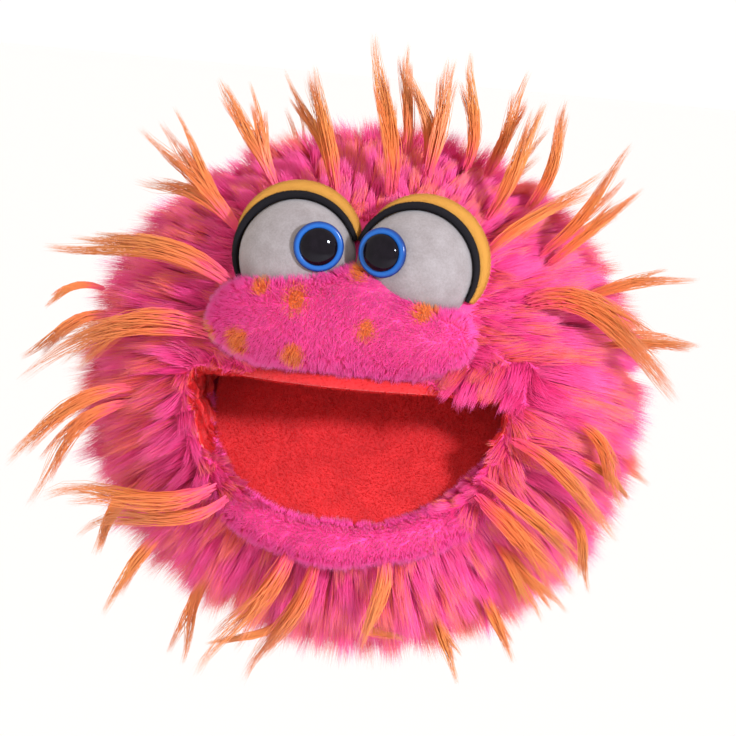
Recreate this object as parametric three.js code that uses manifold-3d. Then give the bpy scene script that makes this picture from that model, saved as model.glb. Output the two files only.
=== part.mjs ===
// A hand puppet with a moving mouth: a round ball of long fur with a stiffened mouth that folds
// about one line, worked by four fingers in an upper pocket and the thumb in a lower pocket.
//
// Millimetres, +Z up, the face looks along -Y, +X is on the right of someone facing the puppet.
// The origin is the middle of the hand opening, in the plane of the cuff's open rim.
// Angles called "fold angles" turn about the mouth's fold line: 0 degrees points straight ahead
// (-Y), 90 degrees points up (+Z), 180 degrees points back (+Y).
import * as THREE from "three";
import { mergeVertices } from "three/addons/utils/BufferGeometryUtils.js";
import Module from "manifold-3d";

// Ball of the head: half sizes of the fabric backing, and the firm height of its fur.
const BALL = new THREE.Vector3(84, 60, 79);
const PILE = 12;
const FOLD_Y = -98;
const GAP = 0.4;

// Mouth: the upper plate lies level, the lower plate hangs open.
const MOUTH_HALF_WIDTH = 54;
const MOUTH_DEPTH = 66;
const MOUTH_STRAIGHT = 12;
const MOUTH_ANGLE = 48;
const FOLD_CLEAR = 3;
const LINING_THICKNESS = 2;
const BOARD_THICKNESS = 2.5;
const FINGER_POCKET = { halfWidth: 44, depth: 54, height: 17 };
const THUMB_POCKET = { halfWidth: 18, depth: 50, height: 24 };
const POCKET_WALL = 1.5;

// Where each body's fur ends, as fold angles. The bands between them stretch when the mouth moves.
const UPPER_FUR = [2, 112];
const BACK_FUR = [128, 232];
const LOWER_FUR = [246, 310.5];
const CHEEK = [-45.5, -2];
const POLE_RADIUS = 9;
const CHEEK_PAD = { half: new THREE.Vector3(38, 52, 44), x: 94, y: -106, z: -14 };

// Cuff at the wrist.
const CUFF = { halfWidth: 42, halfHeight: 33, wall: 3, length: 37 };
const SLEEVE_END = 64;
const HAND_SPACE = { radius: 34, halfWidth: 46 };

// Muzzle: a short-haired roll over the upper lip.
const MUZZLE = { half: new THREE.Vector3(52, 27, 21), y: -150, z: 18 };

// Eyes: felt domes that touch at the middle, with plastic discs set toward the nose.
const EYE = { x: 21.2, y: -146, z: 44.4, radius: 21, depth: 17, back: 5 };
const LASH = { inner: 21.4, outer: 24.3, front: -3.4, back: 0.4 };
const LID = { outer: 27.6, back: 7, front: 0.8 };
const BAND_ARC = [20, 206];
const DISC = { x: 11.2, z: 50, front: -163.3, radius: 9, thickness: 2, turn: 12 };
const PUPIL = { radius: 6.75, height: 2.6 };
const STEM = { radius: 2.2, length: 30 };
const WASHER = { radius: 7, thickness: 1.6 };

const COLOURS = {
  fur: "#f23c9c",
  plush: "#f0489c",
  lock: "#e2863c",
  red: "#d2202c",
  white: "#ddd6d2",
  ochre: "#d3943c",
  black: "#1b181c",
  blue: "#1f66b5",
  pupil: "#060608",
  filling: "#e9e4dc",
  pocket: "#b4236e",
  board: "#4a4a4e",
  knit: "#d63488",
  elastic: "#e6e2da",
  plastic: "#d8d8d6",
};

const wasm = await Module();
wasm.setup();

// ---- solids -------------------------------------------------------------------------------------

function solid(geometry) {
  const bare = geometry.index ? geometry.toNonIndexed() : geometry.clone();
  bare.deleteAttribute("normal");
  bare.deleteAttribute("uv");
  const merged = mergeVertices(bare, 1e-4);
  return new wasm.Manifold(
    new wasm.Mesh({
      numProp: 3,
      vertProperties: merged.attributes.position.array,
      triVerts: new Uint32Array(merged.index.array),
    }),
  );
}

function geometryOf(body) {
  const mesh = body.getMesh();
  const positions = new Float32Array(mesh.vertProperties);
  const indexed = new THREE.BufferGeometry();
  indexed.setAttribute("position", new THREE.BufferAttribute(positions, 3));
  indexed.setIndex(new THREE.BufferAttribute(new Uint32Array(mesh.triVerts), 1));
  const flat = indexed.toNonIndexed();
  flat.computeVertexNormals();
  return flat;
}

const radians = (degrees) => THREE.MathUtils.degToRad(degrees);

// An ellipsoid whose poles lie on the fold's direction, X.
function ellipsoid(half, x, y, z, around = 24, along = 16) {
  const ball = new THREE.SphereGeometry(1, around, along);
  ball.rotateZ(Math.PI / 2);
  ball.scale(half.x, half.y, half.z);
  ball.translate(x, y, z);
  return solid(ball);
}

function headBall(extra) {
  return ellipsoid(BALL.clone().addScalar(extra), 0, FOLD_Y, 0);
}

// The outline of a slice of a disc, from one angle to another.
function slice(radius, from, to) {
  const shape = new THREE.Shape();
  shape.moveTo(0, 0);
  shape.lineTo(radius * Math.cos(radians(from)), radius * Math.sin(radians(from)));
  shape.absarc(0, 0, radius, radians(from), radians(to), false);
  shape.closePath();
  return shape;
}

// A wedge about the fold line, from one fold angle to another.
function sector([from, to]) {
  const reach = 200;
  const wedge = new THREE.ExtrudeGeometry(slice(reach, from, to), {
    depth: 2 * reach,
    bevelEnabled: false,
    curveSegments: 6,
  });
  wedge.translate(0, 0, -reach);
  wedge.applyMatrix4(
    new THREE.Matrix4().makeBasis(
      new THREE.Vector3(0, -1, 0),
      new THREE.Vector3(0, 0, 1),
      new THREE.Vector3(-1, 0, 0),
    ),
  );
  wedge.translate(0, FOLD_Y, 0);
  return solid(wedge);
}

// The fur at both ends of the fold line, where all the wedges would meet in a point.
function poles(radius) {
  const bar = new THREE.CylinderGeometry(radius, radius, 300, 16);
  bar.rotateZ(Math.PI / 2);
  bar.translate(0, FOLD_Y, 0);
  return solid(bar);
}

// Everything past a distance from the middle plane: side is 1 for +X and -1 for -X.
function sideBlock(side, from) {
  const block = new THREE.BoxGeometry(100, 300, 300);
  block.translate(side * (from + 50), FOLD_Y, 0);
  return solid(block);
}

// The outline of a mouth plate or pocket: a straight fold edge, two short sides, a round front.
function mouthOutline(halfWidth, depth, fold) {
  const straight = MOUTH_STRAIGHT;
  const shape = new THREE.Shape();
  shape.moveTo(-halfWidth, -straight);
  shape.absellipse(0, -straight, halfWidth, depth - straight, Math.PI, 2 * Math.PI, false);
  shape.lineTo(halfWidth, -fold);
  shape.lineTo(-halfWidth, -fold);
  shape.closePath();
  return shape;
}

// A flat slab of an outline, from one height to another, measured from the fold line.
function slab(shape, low, high) {
  const geometry = new THREE.ExtrudeGeometry(shape, {
    depth: high - low,
    bevelEnabled: false,
    curveSegments: 14,
  });
  geometry.translate(0, 0, low);
  return solid(geometry);
}

// The upper plates are built level. The lower ones are built the same way and hung open.
function upperPlace(body) {
  return body.translate([0, FOLD_Y, 0]);
}

function lowerPlace(body) {
  return body.rotate([MOUTH_ANGLE, 0, 0]).translate([0, FOLD_Y, 0]);
}

function ovalTube(halfWidth, halfHeight, wall, front, back) {
  const oval = (grow, from, to) => {
    const rod = new THREE.CylinderGeometry(1, 1, to - from, 24);
    rod.scale(halfWidth + grow, 1, halfHeight + grow);
    rod.translate(0, (from + to) / 2, 0);
    return solid(rod);
  };
  return oval(0, front, back).subtract(oval(-wall, front - 1, back + 1));
}

// ---- scene graph --------------------------------------------------------------------------------

const puppet = new THREE.Group();
puppet.name = "moving_mouth_puppet";

function material(colour, roughness = 0.9) {
  return new THREE.MeshStandardMaterial({ color: COLOURS[colour], roughness, metalness: 0 });
}

function body(name) {
  const group = new THREE.Group();
  group.name = name;
  puppet.add(group);
  return group;
}

function addPiece(group, name, shape, colour, roughness) {
  const geometry = shape.isBufferGeometry ? shape : geometryOf(shape);
  const mesh = new THREE.Mesh(geometry, material(colour, roughness));
  mesh.name = name;
  group.add(mesh);
  return mesh;
}

const handSleeve = body("hand_sleeve");
const upperFace = body("upper_face");
const lowerJaw = body("lower_jaw");

// ---- shapes shared by several pieces ------------------------------------------------------------

const furShell = headBall(PILE).subtract(headBall(0));
const upperPlates = upperPlace(
  slab(mouthOutline(MOUTH_HALF_WIDTH + GAP, MOUTH_DEPTH + GAP, 0), -4, platesHeight()),
);
const lowerPlates = lowerPlace(
  slab(mouthOutline(MOUTH_HALF_WIDTH + GAP, MOUTH_DEPTH + GAP, 0), -platesHeight(), 4),
);

function platesHeight() {
  return GAP + LINING_THICKNESS + GAP + BOARD_THICKNESS + GAP;
}

// The room in which the knuckles turn, kept clear of the filling.
function handSpace() {
  const room = new THREE.CylinderGeometry(
    HAND_SPACE.radius,
    HAND_SPACE.radius,
    2 * HAND_SPACE.halfWidth,
    20,
  );
  room.rotateZ(Math.PI / 2);
  room.translate(0, FOLD_Y, 0);
  return solid(room);
}

// ---- mouth --------------------------------------------------------------------------------------

// A pocket of thin cloth on the back of a mouth board, open toward the wrist.
function pocket({ halfWidth, depth, height }, low) {
  const outer = slab(mouthOutline(halfWidth, depth, FOLD_CLEAR), low, low + height);
  const inner = slab(
    mouthOutline(halfWidth - POCKET_WALL, depth - POCKET_WALL, -1),
    low + POCKET_WALL,
    low + height - POCKET_WALL,
  );
  return outer.subtract(inner);
}

// The room that a pocket takes out of the filling round it.
function pocketRoom({ halfWidth, depth, height }, low) {
  return slab(mouthOutline(halfWidth + GAP, depth + GAP, -1), low - GAP, low + height + GAP);
}

function liningPlate(low) {
  const outline = mouthOutline(MOUTH_HALF_WIDTH, MOUTH_DEPTH, FOLD_CLEAR);
  return slab(outline, low, low + LINING_THICKNESS);
}

function boardPlate(low) {
  const outline = mouthOutline(MOUTH_HALF_WIDTH - 2, MOUTH_DEPTH - 2, FOLD_CLEAR + 1);
  return slab(outline, low, low + BOARD_THICKNESS);
}

const liningHeight = GAP;
const boardHeight = liningHeight + LINING_THICKNESS + GAP;
const pocketHeight = boardHeight + BOARD_THICKNESS + GAP;
const upsideDown = (low, height) => -low - height;

addPiece(upperFace, "palate_lining", upperPlace(liningPlate(liningHeight)), "red");
addPiece(upperFace, "palate_board", upperPlace(boardPlate(boardHeight)), "board", 0.6);
addPiece(upperFace, "finger_pocket", upperPlace(pocket(FINGER_POCKET, pocketHeight)), "pocket");

const floorLow = upsideDown(liningHeight, LINING_THICKNESS);
const jawBoardLow = upsideDown(boardHeight, BOARD_THICKNESS);
const thumbLow = upsideDown(pocketHeight, THUMB_POCKET.height);
addPiece(lowerJaw, "mouth_floor_lining", lowerPlace(liningPlate(floorLow)), "red");
addPiece(lowerJaw, "jaw_board", lowerPlace(boardPlate(jawBoardLow)), "board", 0.6);
addPiece(lowerJaw, "thumb_pocket", lowerPlace(pocket(THUMB_POCKET, thumbLow)), "pocket");

// A round tape along the fold joins the two linings.
const tape = new THREE.CylinderGeometry(1.8, 1.8, 2 * MOUTH_HALF_WIDTH, 12);
tape.rotateZ(Math.PI / 2);
tape.translate(0, FOLD_Y, 0);
addPiece(handSleeve, "fold_tape", tape, "red");

// ---- eyes ---------------------------------------------------------------------------------------

// A lathe turned about the line of sight, -Y. Its profile is [radius, distance behind the front].
function turned(profile, segments) {
  const points = profile.map(([radius, back]) => new THREE.Vector2(radius, back));
  return new THREE.LatheGeometry(points, segments);
}

function eyeDome(side, grow) {
  const half = new THREE.Vector3(EYE.radius, EYE.depth, EYE.radius).addScalar(grow);
  return ellipsoid(half, side * EYE.x, EYE.y, EYE.z, 18, 12);
}

// The line that a plastic eye is set on: it starts at the disc and runs back into the head.
function onEyeLine(geometry, side) {
  geometry.rotateZ(-side * radians(DISC.turn));
  geometry.translate(side * DISC.x, DISC.front, DISC.z);
  return geometry;
}

function stemRod(side, radius, length) {
  const rod = new THREE.CylinderGeometry(radius, radius, length, 8);
  rod.translate(0, DISC.thickness + GAP + length / 2, 0);
  return onEyeLine(rod, side);
}

// The flat that the dome is pressed to under the disc.
function discSeat(side) {
  const depth = 20;
  const seat = new THREE.CylinderGeometry(DISC.radius + 0.6, DISC.radius + 0.6, depth, 20);
  seat.translate(0, DISC.thickness + GAP - depth / 2, 0);
  return onEyeLine(seat, side);
}

// A band round the dome, kept only where the lid runs: over the top and down the outer side.
function bandRound(side, inner, outer, front, back) {
  const ring = turned(
    [
      [inner, front],
      [outer, front],
      [outer, back],
      [inner, back],
      [inner, front],
    ],
    40,
  );
  ring.translate(side * EYE.x, EYE.y, EYE.z);
  const wedge = new THREE.ExtrudeGeometry(slice(60, BAND_ARC[0], BAND_ARC[1]), {
    depth: 60,
    bevelEnabled: false,
    curveSegments: 12,
  });
  wedge.rotateX(Math.PI / 2);
  const keep = solid(wedge).translate([0, EYE.y + 30, EYE.z]);
  const placed = side < 0 ? keep : keep.mirror([1, 0, 0]);
  return solid(ring)
    .intersect(placed.translate([side * EYE.x, 0, 0]))
    .intersect(sideBlock(side, GAP / 2));
}

for (const [side, word] of [
  [-1, "left"],
  [1, "right"],
]) {
  const back = new THREE.BoxGeometry(80, 40, 80);
  back.translate(side * EYE.x, EYE.y + EYE.back + 20, EYE.z);
  const dome = eyeDome(side, 0)
    .subtract(solid(back))
    .subtract(solid(stemRod(side, STEM.radius + 0.3, STEM.length + 10)))
    .subtract(solid(discSeat(side)));
  addPiece(upperFace, `eyeball_${word}`, dome, "white");

  const lash = bandRound(side, LASH.inner, LASH.outer, LASH.front, LASH.back);
  addPiece(upperFace, `lash_band_${word}`, lash, "black");
  const lid = bandRound(side, LASH.inner, LID.outer, LID.front, LID.back);
  addPiece(upperFace, `eyelid_${word}`, lid, "ochre");

  const disc = turned(
    [
      [0, 0],
      [DISC.radius - 0.8, 0],
      [DISC.radius, 0.8],
      [DISC.radius, DISC.thickness],
      [0, DISC.thickness],
    ],
    18,
  );
  addPiece(upperFace, `iris_${word}`, onEyeLine(disc, side), "blue", 0.2);

  const bead = turned(
    [
      [0, -PUPIL.height],
      [PUPIL.radius * 0.45, -PUPIL.height * 0.88],
      [PUPIL.radius * 0.8, -PUPIL.height * 0.5],
      [PUPIL.radius, -0.3],
      [0, -0.3],
    ],
    14,
  );
  addPiece(upperFace, `pupil_${word}`, onEyeLine(bead, side), "pupil", 0.1);
  addPiece(upperFace, `eye_stem_${word}`, stemRod(side, STEM.radius, STEM.length), "plastic", 0.5);

  const washer = turned(
    [
      [STEM.radius + 0.3, 0],
      [WASHER.radius, 0],
      [WASHER.radius, WASHER.thickness],
      [STEM.radius + 0.3, WASHER.thickness],
      [STEM.radius + 0.3, 0],
    ],
    12,
  );
  washer.translate(0, STEM.length - 3, 0);
  addPiece(upperFace, `eye_washer_${word}`, onEyeLine(washer, side), "plastic", 0.5);
}

// The room that one eye takes: a round well, and a smaller one behind it for the washer.
function eyeWell(side) {
  const well = new THREE.CylinderGeometry(LID.outer + GAP, LID.outer + GAP, 60, 32);
  well.translate(side * EYE.x, EYE.y + LID.back + GAP - 30, EYE.z);
  const washerRoom = new THREE.CylinderGeometry(WASHER.radius + 1, WASHER.radius + 1, 40, 16);
  washerRoom.translate(0, STEM.length - 16, 0);
  return solid(well).add(solid(onEyeLine(washerRoom, side)));
}

// ---- head: fur, muzzle and filling ----------------------------------------------------------------

function muzzleBall(grow) {
  const half = MUZZLE.half.clone().addScalar(grow);
  return ellipsoid(half, 0, MUZZLE.y, MUZZLE.z, 20, 14);
}

function eyeRoomInMuzzle(side) {
  const lid = new THREE.CylinderGeometry(LID.outer + GAP, LID.outer + GAP, 40, 32);
  lid.translate(side * EYE.x, EYE.y + LASH.front - GAP + 20, EYE.z);
  const disc = new THREE.CylinderGeometry(DISC.radius + 1, DISC.radius + 1, 30, 24);
  return eyeDome(side, GAP)
    .add(solid(lid))
    .add(solid(onEyeLine(disc, side)));
}

const muzzle = muzzleBall(0)
  .subtract(headBall(GAP))
  .intersect(sector(UPPER_FUR))
  .subtract(upperPlates)
  .subtract(eyeRoomInMuzzle(-1))
  .subtract(eyeRoomInMuzzle(1));
addPiece(upperFace, "muzzle", muzzle, "plush");

const upperFur = furShell
  .intersect(sector(UPPER_FUR))
  .subtract(poles(POLE_RADIUS))
  .subtract(upperPlates)
  .subtract(muzzleBall(GAP))
  .subtract(eyeWell(-1))
  .subtract(eyeWell(1));
addPiece(upperFace, "upper_fur_panel", upperFur, "fur");

const headFilling = headBall(-GAP)
  .intersect(sector([UPPER_FUR[0] + 2, UPPER_FUR[1] - 2]))
  .subtract(upperPlates)
  .subtract(upperPlace(pocketRoom(FINGER_POCKET, pocketHeight)))
  .subtract(handSpace())
  .subtract(poles(POLE_RADIUS))
  .subtract(eyeWell(-1))
  .subtract(eyeWell(1));
addPiece(upperFace, "head_filling", headFilling, "filling");

// ---- jaw: fur, lip roll and filling ---------------------------------------------------------------

// A soft roll of short fur along the front edge of the lower plate.
function lipRoll(radius, from = 4, to = 176) {
  const centre = { halfWidth: MOUTH_HALF_WIDTH + 6.4, depth: MOUTH_DEPTH + 6.4 - MOUTH_STRAIGHT };
  const points = [];
  const steps = 14;
  for (let i = 0; i <= steps; i += 1) {
    const angle = radians(from + ((to - from) * i) / steps);
    points.push(
      new THREE.Vector3(
        -centre.halfWidth * Math.cos(angle),
        -MOUTH_STRAIGHT - centre.depth * Math.sin(angle),
        -4,
      ),
    );
  }
  const section = new THREE.Shape();
  section.absarc(0, 0, radius, 0, 2 * Math.PI, false);
  const roll = new THREE.ExtrudeGeometry(section, {
    steps,
    extrudePath: new THREE.CatmullRomCurve3(points),
    curveSegments: 5,
    bevelEnabled: false,
  });
  return lowerPlace(solid(roll));
}

const LIP_RADIUS = 5.6;
addPiece(lowerJaw, "lower_lip_roll", lipRoll(LIP_RADIUS), "plush");

const lowerFur = furShell
  .intersect(sector(LOWER_FUR))
  .subtract(poles(POLE_RADIUS))
  .subtract(lowerPlates)
  .subtract(lipRoll(LIP_RADIUS + GAP, 2, 178));
addPiece(lowerJaw, "chin_fur_panel", lowerFur, "fur");

const chinFilling = headBall(-GAP)
  .intersect(sector([LOWER_FUR[0] + 2, LOWER_FUR[1] - 2]))
  .subtract(lowerPlates)
  .subtract(lowerPlace(pocketRoom(THUMB_POCKET, thumbLow)))
  .subtract(handSpace())
  .subtract(poles(POLE_RADIUS))
  .subtract(lipRoll(LIP_RADIUS + GAP, 2, 178));
addPiece(lowerJaw, "chin_filling", chinFilling, "filling");

// ---- back of the head, cuff and sleeve --------------------------------------------------------------

const cuffHole = new THREE.CylinderGeometry(1, 1, 240, 24);
cuffHole.scale(CUFF.halfWidth + GAP, 1, CUFF.halfHeight + GAP);
const backFur = furShell
  .intersect(sector(BACK_FUR))
  .subtract(poles(POLE_RADIUS))
  .subtract(solid(cuffHole));
addPiece(handSleeve, "back_fur_panel", backFur, "fur");

function bandPanel(from, to) {
  return furShell.intersect(sector([from, to])).subtract(poles(POLE_RADIUS));
}

const seam = 0.6;
const crown = bandPanel(UPPER_FUR[1] + seam, BACK_FUR[0] - seam);
addPiece(handSleeve, "crown_stretch_panel", crown, "fur");
const nape = bandPanel(BACK_FUR[1] + seam, LOWER_FUR[0] - seam);
addPiece(handSleeve, "nape_stretch_panel", nape, "fur");

for (const [side, word] of [
  [-1, "left"],
  [1, "right"],
]) {
  const pad = ellipsoid(CHEEK_PAD.half, side * CHEEK_PAD.x, CHEEK_PAD.y, CHEEK_PAD.z);
  const button = furShell.intersect(poles(POLE_RADIUS - GAP));
  const cheek = headBall(PILE)
    .intersect(sector(CHEEK))
    .intersect(pad)
    .add(button)
    .intersect(sideBlock(side, MOUTH_HALF_WIDTH + 3))
    .subtract(lipRoll(LIP_RADIUS + GAP, 0, 180));
  addPiece(handSleeve, `cheek_gusset_${word}`, cheek, "fur");
}

const cuff = ovalTube(CUFF.halfWidth, CUFF.halfHeight, CUFF.wall, -CUFF.length, 0);
const elasticGroove = ovalTube(CUFF.halfWidth - 1, CUFF.halfHeight - 1, 3, -12, -3);
addPiece(handSleeve, "wrist_cuff", cuff.subtract(elasticGroove), "knit");
const elastic = ovalTube(CUFF.halfWidth - 1.3, CUFF.halfHeight - 1.3, 1.2, -11.5, -3.5);
addPiece(handSleeve, "cuff_elastic", elastic, "elastic", 0.8);

const sleeve = ovalTube(
  CUFF.halfWidth - 1,
  CUFF.halfHeight - 1,
  POCKET_WALL,
  -SLEEVE_END,
  -CUFF.length - GAP,
);
addPiece(handSleeve, "palm_sleeve", sleeve, "pocket");

// ---- long locks -----------------------------------------------------------------------------------

// Where a line from the ball's middle line meets the fur, with the fur's outward direction there.
// clock is the angle round the face seen from the front (0 = +X, 90 = up), out the distance from
// the face's middle, and facing is -1 on the front half and 1 on the back half.
function rootOnFur(clock, out, facing) {
  const half = BALL.clone().addScalar(PILE);
  const x = out * Math.cos(radians(clock));
  const z = out * Math.sin(radians(clock));
  const y = facing * half.y * Math.sqrt(1 - (x / half.x) ** 2 - (z / half.z) ** 2);
  const normal = new THREE.Vector3(x / half.x ** 2, y / half.y ** 2, z / half.z ** 2).normalize();
  return { point: new THREE.Vector3(x, FOLD_Y + y, z), normal };
}

// A lock of long coarse hair: a bent cone that stands on the fur and sweeps outward to its tip.
function lock({ clock, out, reach, tipY, tipClock = clock, facing = -1, radius = 4 }) {
  const root = rootOnFur(clock, out, facing);
  const start = root.point.clone().addScaledVector(root.normal, 1.2);
  const end = new THREE.Vector3(
    reach * Math.cos(radians(tipClock)),
    tipY,
    reach * Math.sin(radians(tipClock)),
  );
  const bend = start.clone().addScaledVector(root.normal, 0.5 * start.distanceTo(end));
  const path = new THREE.QuadraticBezierCurve3(start, bend, end);
  const rings = 5;
  const cone = new THREE.CylinderGeometry(0.5, radius, 1, 5, rings);
  cone.translate(0, 0.5, 0);
  const place = cone.getAttribute("position");
  const spot = new THREE.Vector3();
  const turn = new THREE.Quaternion();
  const up = new THREE.Vector3(0, 1, 0);
  for (let i = 0; i < place.count; i += 1) {
    const along = place.getY(i);
    turn.setFromUnitVectors(up, path.getTangent(along));
    spot.set(place.getX(i), 0, place.getZ(i)).applyQuaternion(turn);
    spot.add(path.getPoint(along));
    place.setXYZ(i, spot.x, spot.y, spot.z);
  }
  return cone;
}

const UPPER_LOCKS = [
  { clock: 14, out: 80, reach: 130, tipY: -135 },
  { clock: 30, out: 78, reach: 128, tipY: -130 },
  { clock: 46, out: 76, reach: 130, tipY: -138 },
  { clock: 61, out: 86, reach: 129, tipY: -132 },
  { clock: 76, out: 78, reach: 124, tipY: -140 },
  { clock: 93, out: 78, reach: 125, tipY: -130 },
  { clock: 108, out: 80, reach: 122, tipY: -140 },
  { clock: 122, out: 86, reach: 124, tipY: -132 },
  { clock: 136, out: 78, reach: 126, tipY: -138 },
  { clock: 160, out: 80, reach: 134, tipY: -134 },
];
const JAW_LOCKS = [
  { clock: 216, out: 80, reach: 131, tipY: -120 },
  { clock: 231, out: 78, reach: 134, tipY: -118 },
  { clock: 247, out: 76, reach: 124, tipY: -122 },
  { clock: 272, out: 74, reach: 112, tipY: -124 },
  { clock: 300, out: 78, reach: 121, tipY: -120 },
  { clock: 322, out: 80, reach: 118, tipY: -120 },
];
const BACK_LOCKS = [
  { clock: 40, out: 72, reach: 112, tipY: -14, facing: 1 },
  { clock: 140, out: 72, reach: 112, tipY: -14, facing: 1 },
  { clock: 220, out: 72, reach: 108, tipY: -14, facing: 1 },
  { clock: 320, out: 72, reach: 108, tipY: -14, facing: 1 },
];
const CHEEK_LOCKS = [
  { clock: 195, out: 84, reach: 136, tipY: -138, tipClock: 197, radius: 5 },
  { clock: 345, out: 84, reach: 128, tipY: -138, tipClock: 346, radius: 5 },
];

function addLocks(group, prefix, locks) {
  locks.forEach((spec, i) => {
    const name = `${prefix}_${String(i + 1).padStart(2, "0")}`;
    addPiece(group, name, lock(spec), "lock", 0.6);
  });
}

addLocks(upperFace, "upper_lock", UPPER_LOCKS);
addLocks(lowerJaw, "chin_lock", JAW_LOCKS);
addLocks(handSleeve, "back_lock", BACK_LOCKS);
addLocks(handSleeve, "cheek_lock", CHEEK_LOCKS);

export default puppet;
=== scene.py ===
import math
import bmesh
import bpy
import numpy as np
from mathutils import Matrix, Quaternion, Vector


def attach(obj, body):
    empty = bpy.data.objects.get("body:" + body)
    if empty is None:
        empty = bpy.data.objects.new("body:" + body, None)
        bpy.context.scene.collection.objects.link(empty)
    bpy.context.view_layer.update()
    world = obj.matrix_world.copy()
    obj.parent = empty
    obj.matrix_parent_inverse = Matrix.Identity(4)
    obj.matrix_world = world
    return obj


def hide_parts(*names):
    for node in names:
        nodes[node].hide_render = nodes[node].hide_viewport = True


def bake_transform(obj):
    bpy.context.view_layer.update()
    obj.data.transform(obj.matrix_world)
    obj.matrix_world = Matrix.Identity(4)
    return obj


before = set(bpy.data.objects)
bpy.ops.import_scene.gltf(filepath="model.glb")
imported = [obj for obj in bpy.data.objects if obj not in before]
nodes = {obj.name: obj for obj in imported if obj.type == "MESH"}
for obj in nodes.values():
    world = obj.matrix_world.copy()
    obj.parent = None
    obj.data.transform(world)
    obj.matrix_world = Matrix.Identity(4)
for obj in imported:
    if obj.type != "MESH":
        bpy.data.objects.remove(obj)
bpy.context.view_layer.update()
mm = 0.001

# ---- camera, floor and light -------------------------------------------------------------------
# The puppet is held up in front of a pale studio sweep, so nothing touches the floor.
# The camera stands a little to its left hand side and a little above, with the head tipped.
scene = bpy.context.scene
fold = Vector((0, -98, 0)) * mm
azimuth, elevation, tilt = math.radians(8.8), math.radians(4), math.radians(5)
camera_distance, camera_shift = 3.0, Vector((0.4, 4.3, 0)) * mm
back = Vector((
    math.sin(azimuth) * math.cos(elevation),
    -math.cos(azimuth) * math.cos(elevation),
    math.sin(elevation),
))
camera = bpy.data.objects.new("camera", bpy.data.cameras.new("camera"))
scene.collection.objects.link(camera)
scene.camera = camera
camera.data.lens = 406
camera.data.sensor_width = 36
camera.rotation_mode = "QUATERNION"
tipped = (-back).to_track_quat("-Z", "Y") @ Quaternion((0, 0, 1), tilt)
camera.rotation_quaternion = tipped
camera.location = fold + back * camera_distance + tipped @ camera_shift

scene.view_settings.view_transform = "Standard"


def paint(name, roughness, **constants):
    """A Principled material, with its tree and shader. Constants are set on the shader itself."""
    material = bpy.data.materials.new(name)
    material.use_nodes = True
    shader = material.node_tree.nodes["Principled BSDF"]
    shader.inputs["Roughness"].default_value = roughness
    for key, value in constants.items():
        shader.inputs[key.replace("_", " ")].default_value = value
    return material, material.node_tree, shader


def floor_and_light():
    world = bpy.data.worlds.new("studio")
    scene.world = world
    world.use_nodes = True
    sky = world.node_tree.nodes["Background"].inputs
    sky["Color"].default_value = (1, 0.95, 0.93, 1)
    sky["Strength"].default_value = 1.08

    bpy.ops.mesh.primitive_plane_add(size=40, location=(0, 0, -0.6))
    floor = bpy.context.object
    floor.name = "studio_floor"
    pale, _, shader = paint("studio pale", 0.9)
    shader.inputs["Base Color"].default_value = (0.97, 0.97, 0.97, 1)
    floor.data.materials.append(pale)

    lamp = bpy.data.objects.new("key light", bpy.data.lights.new("key light", "AREA"))
    scene.collection.objects.link(lamp)
    lamp.data.energy = 30
    lamp.data.size = 0.16
    lamp.data.color = (0.80, 0.86, 1)
    lamp.location = (1.0, -1.3, 0.42)
    lamp.rotation_euler = (fold - lamp.location).to_track_quat("-Z", "Y").to_euler()


floor_and_light()

# ---- scalp -------------------------------------------------------------------------------------
# The knitted backing that all the long fur grows from: a ball sewn from panels, with the mouth
# let into it. It is worked out whole here, with soft stuffed edges round the mouth, and cut into
# panels in the next section.
ball_half = Vector((84, 60, 79)) * mm
mouth_half_width, mouth_depth, mouth_straight = 54 * mm, 66 * mm, 12 * mm
mouth_angle = math.radians(48)


def new_object(name, mesh):
    made = bpy.data.objects.new(name, mesh)
    scene.collection.objects.link(made)
    return made


def mesh_from(name, points, faces):
    mesh = bpy.data.meshes.new(name)
    mesh.from_pydata([tuple(p) for p in points], [], [tuple(f) for f in faces])
    mesh.update()
    return mesh


def mesh_of(work, name):
    """Turns a bmesh into a mesh, with its faces pointing out."""
    bmesh.ops.remove_doubles(work, verts=work.verts, dist=1e-7)
    bmesh.ops.recalc_face_normals(work, faces=work.faces)
    mesh = bpy.data.meshes.new(name)
    work.to_mesh(mesh)
    work.free()
    return mesh


def egg(name, half, centre, around=96, along=64):
    """An ellipsoid whose poles lie on the fold's direction, X."""
    work = bmesh.new()
    bmesh.ops.create_uvsphere(work, u_segments=around, v_segments=along, radius=1)
    for vert in work.verts:
        x, y, z = vert.co
        vert.co = centre + Vector((z * half.x, y * half.y, x * half.z))
    return mesh_of(work, name)


def plain_mesh(made):
    """What an object and its modifiers come to, as one mesh."""
    sight = bpy.context.evaluated_depsgraph_get()
    return bpy.data.meshes.new_from_object(
        made.evaluated_get(sight), preserve_all_data_layers=True, depsgraph=sight
    )


def settle(made):
    mesh = plain_mesh(made)
    made.modifiers.clear()
    made.data = mesh
    return made


def depth_at(x):
    """How far the mouth plate reaches from the fold at a distance x from the middle."""
    if abs(x) >= mouth_half_width:
        return mouth_straight
    bow = math.sqrt(1 - (x / mouth_half_width) ** 2)
    return mouth_straight + (mouth_depth - mouth_straight) * bow


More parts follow.
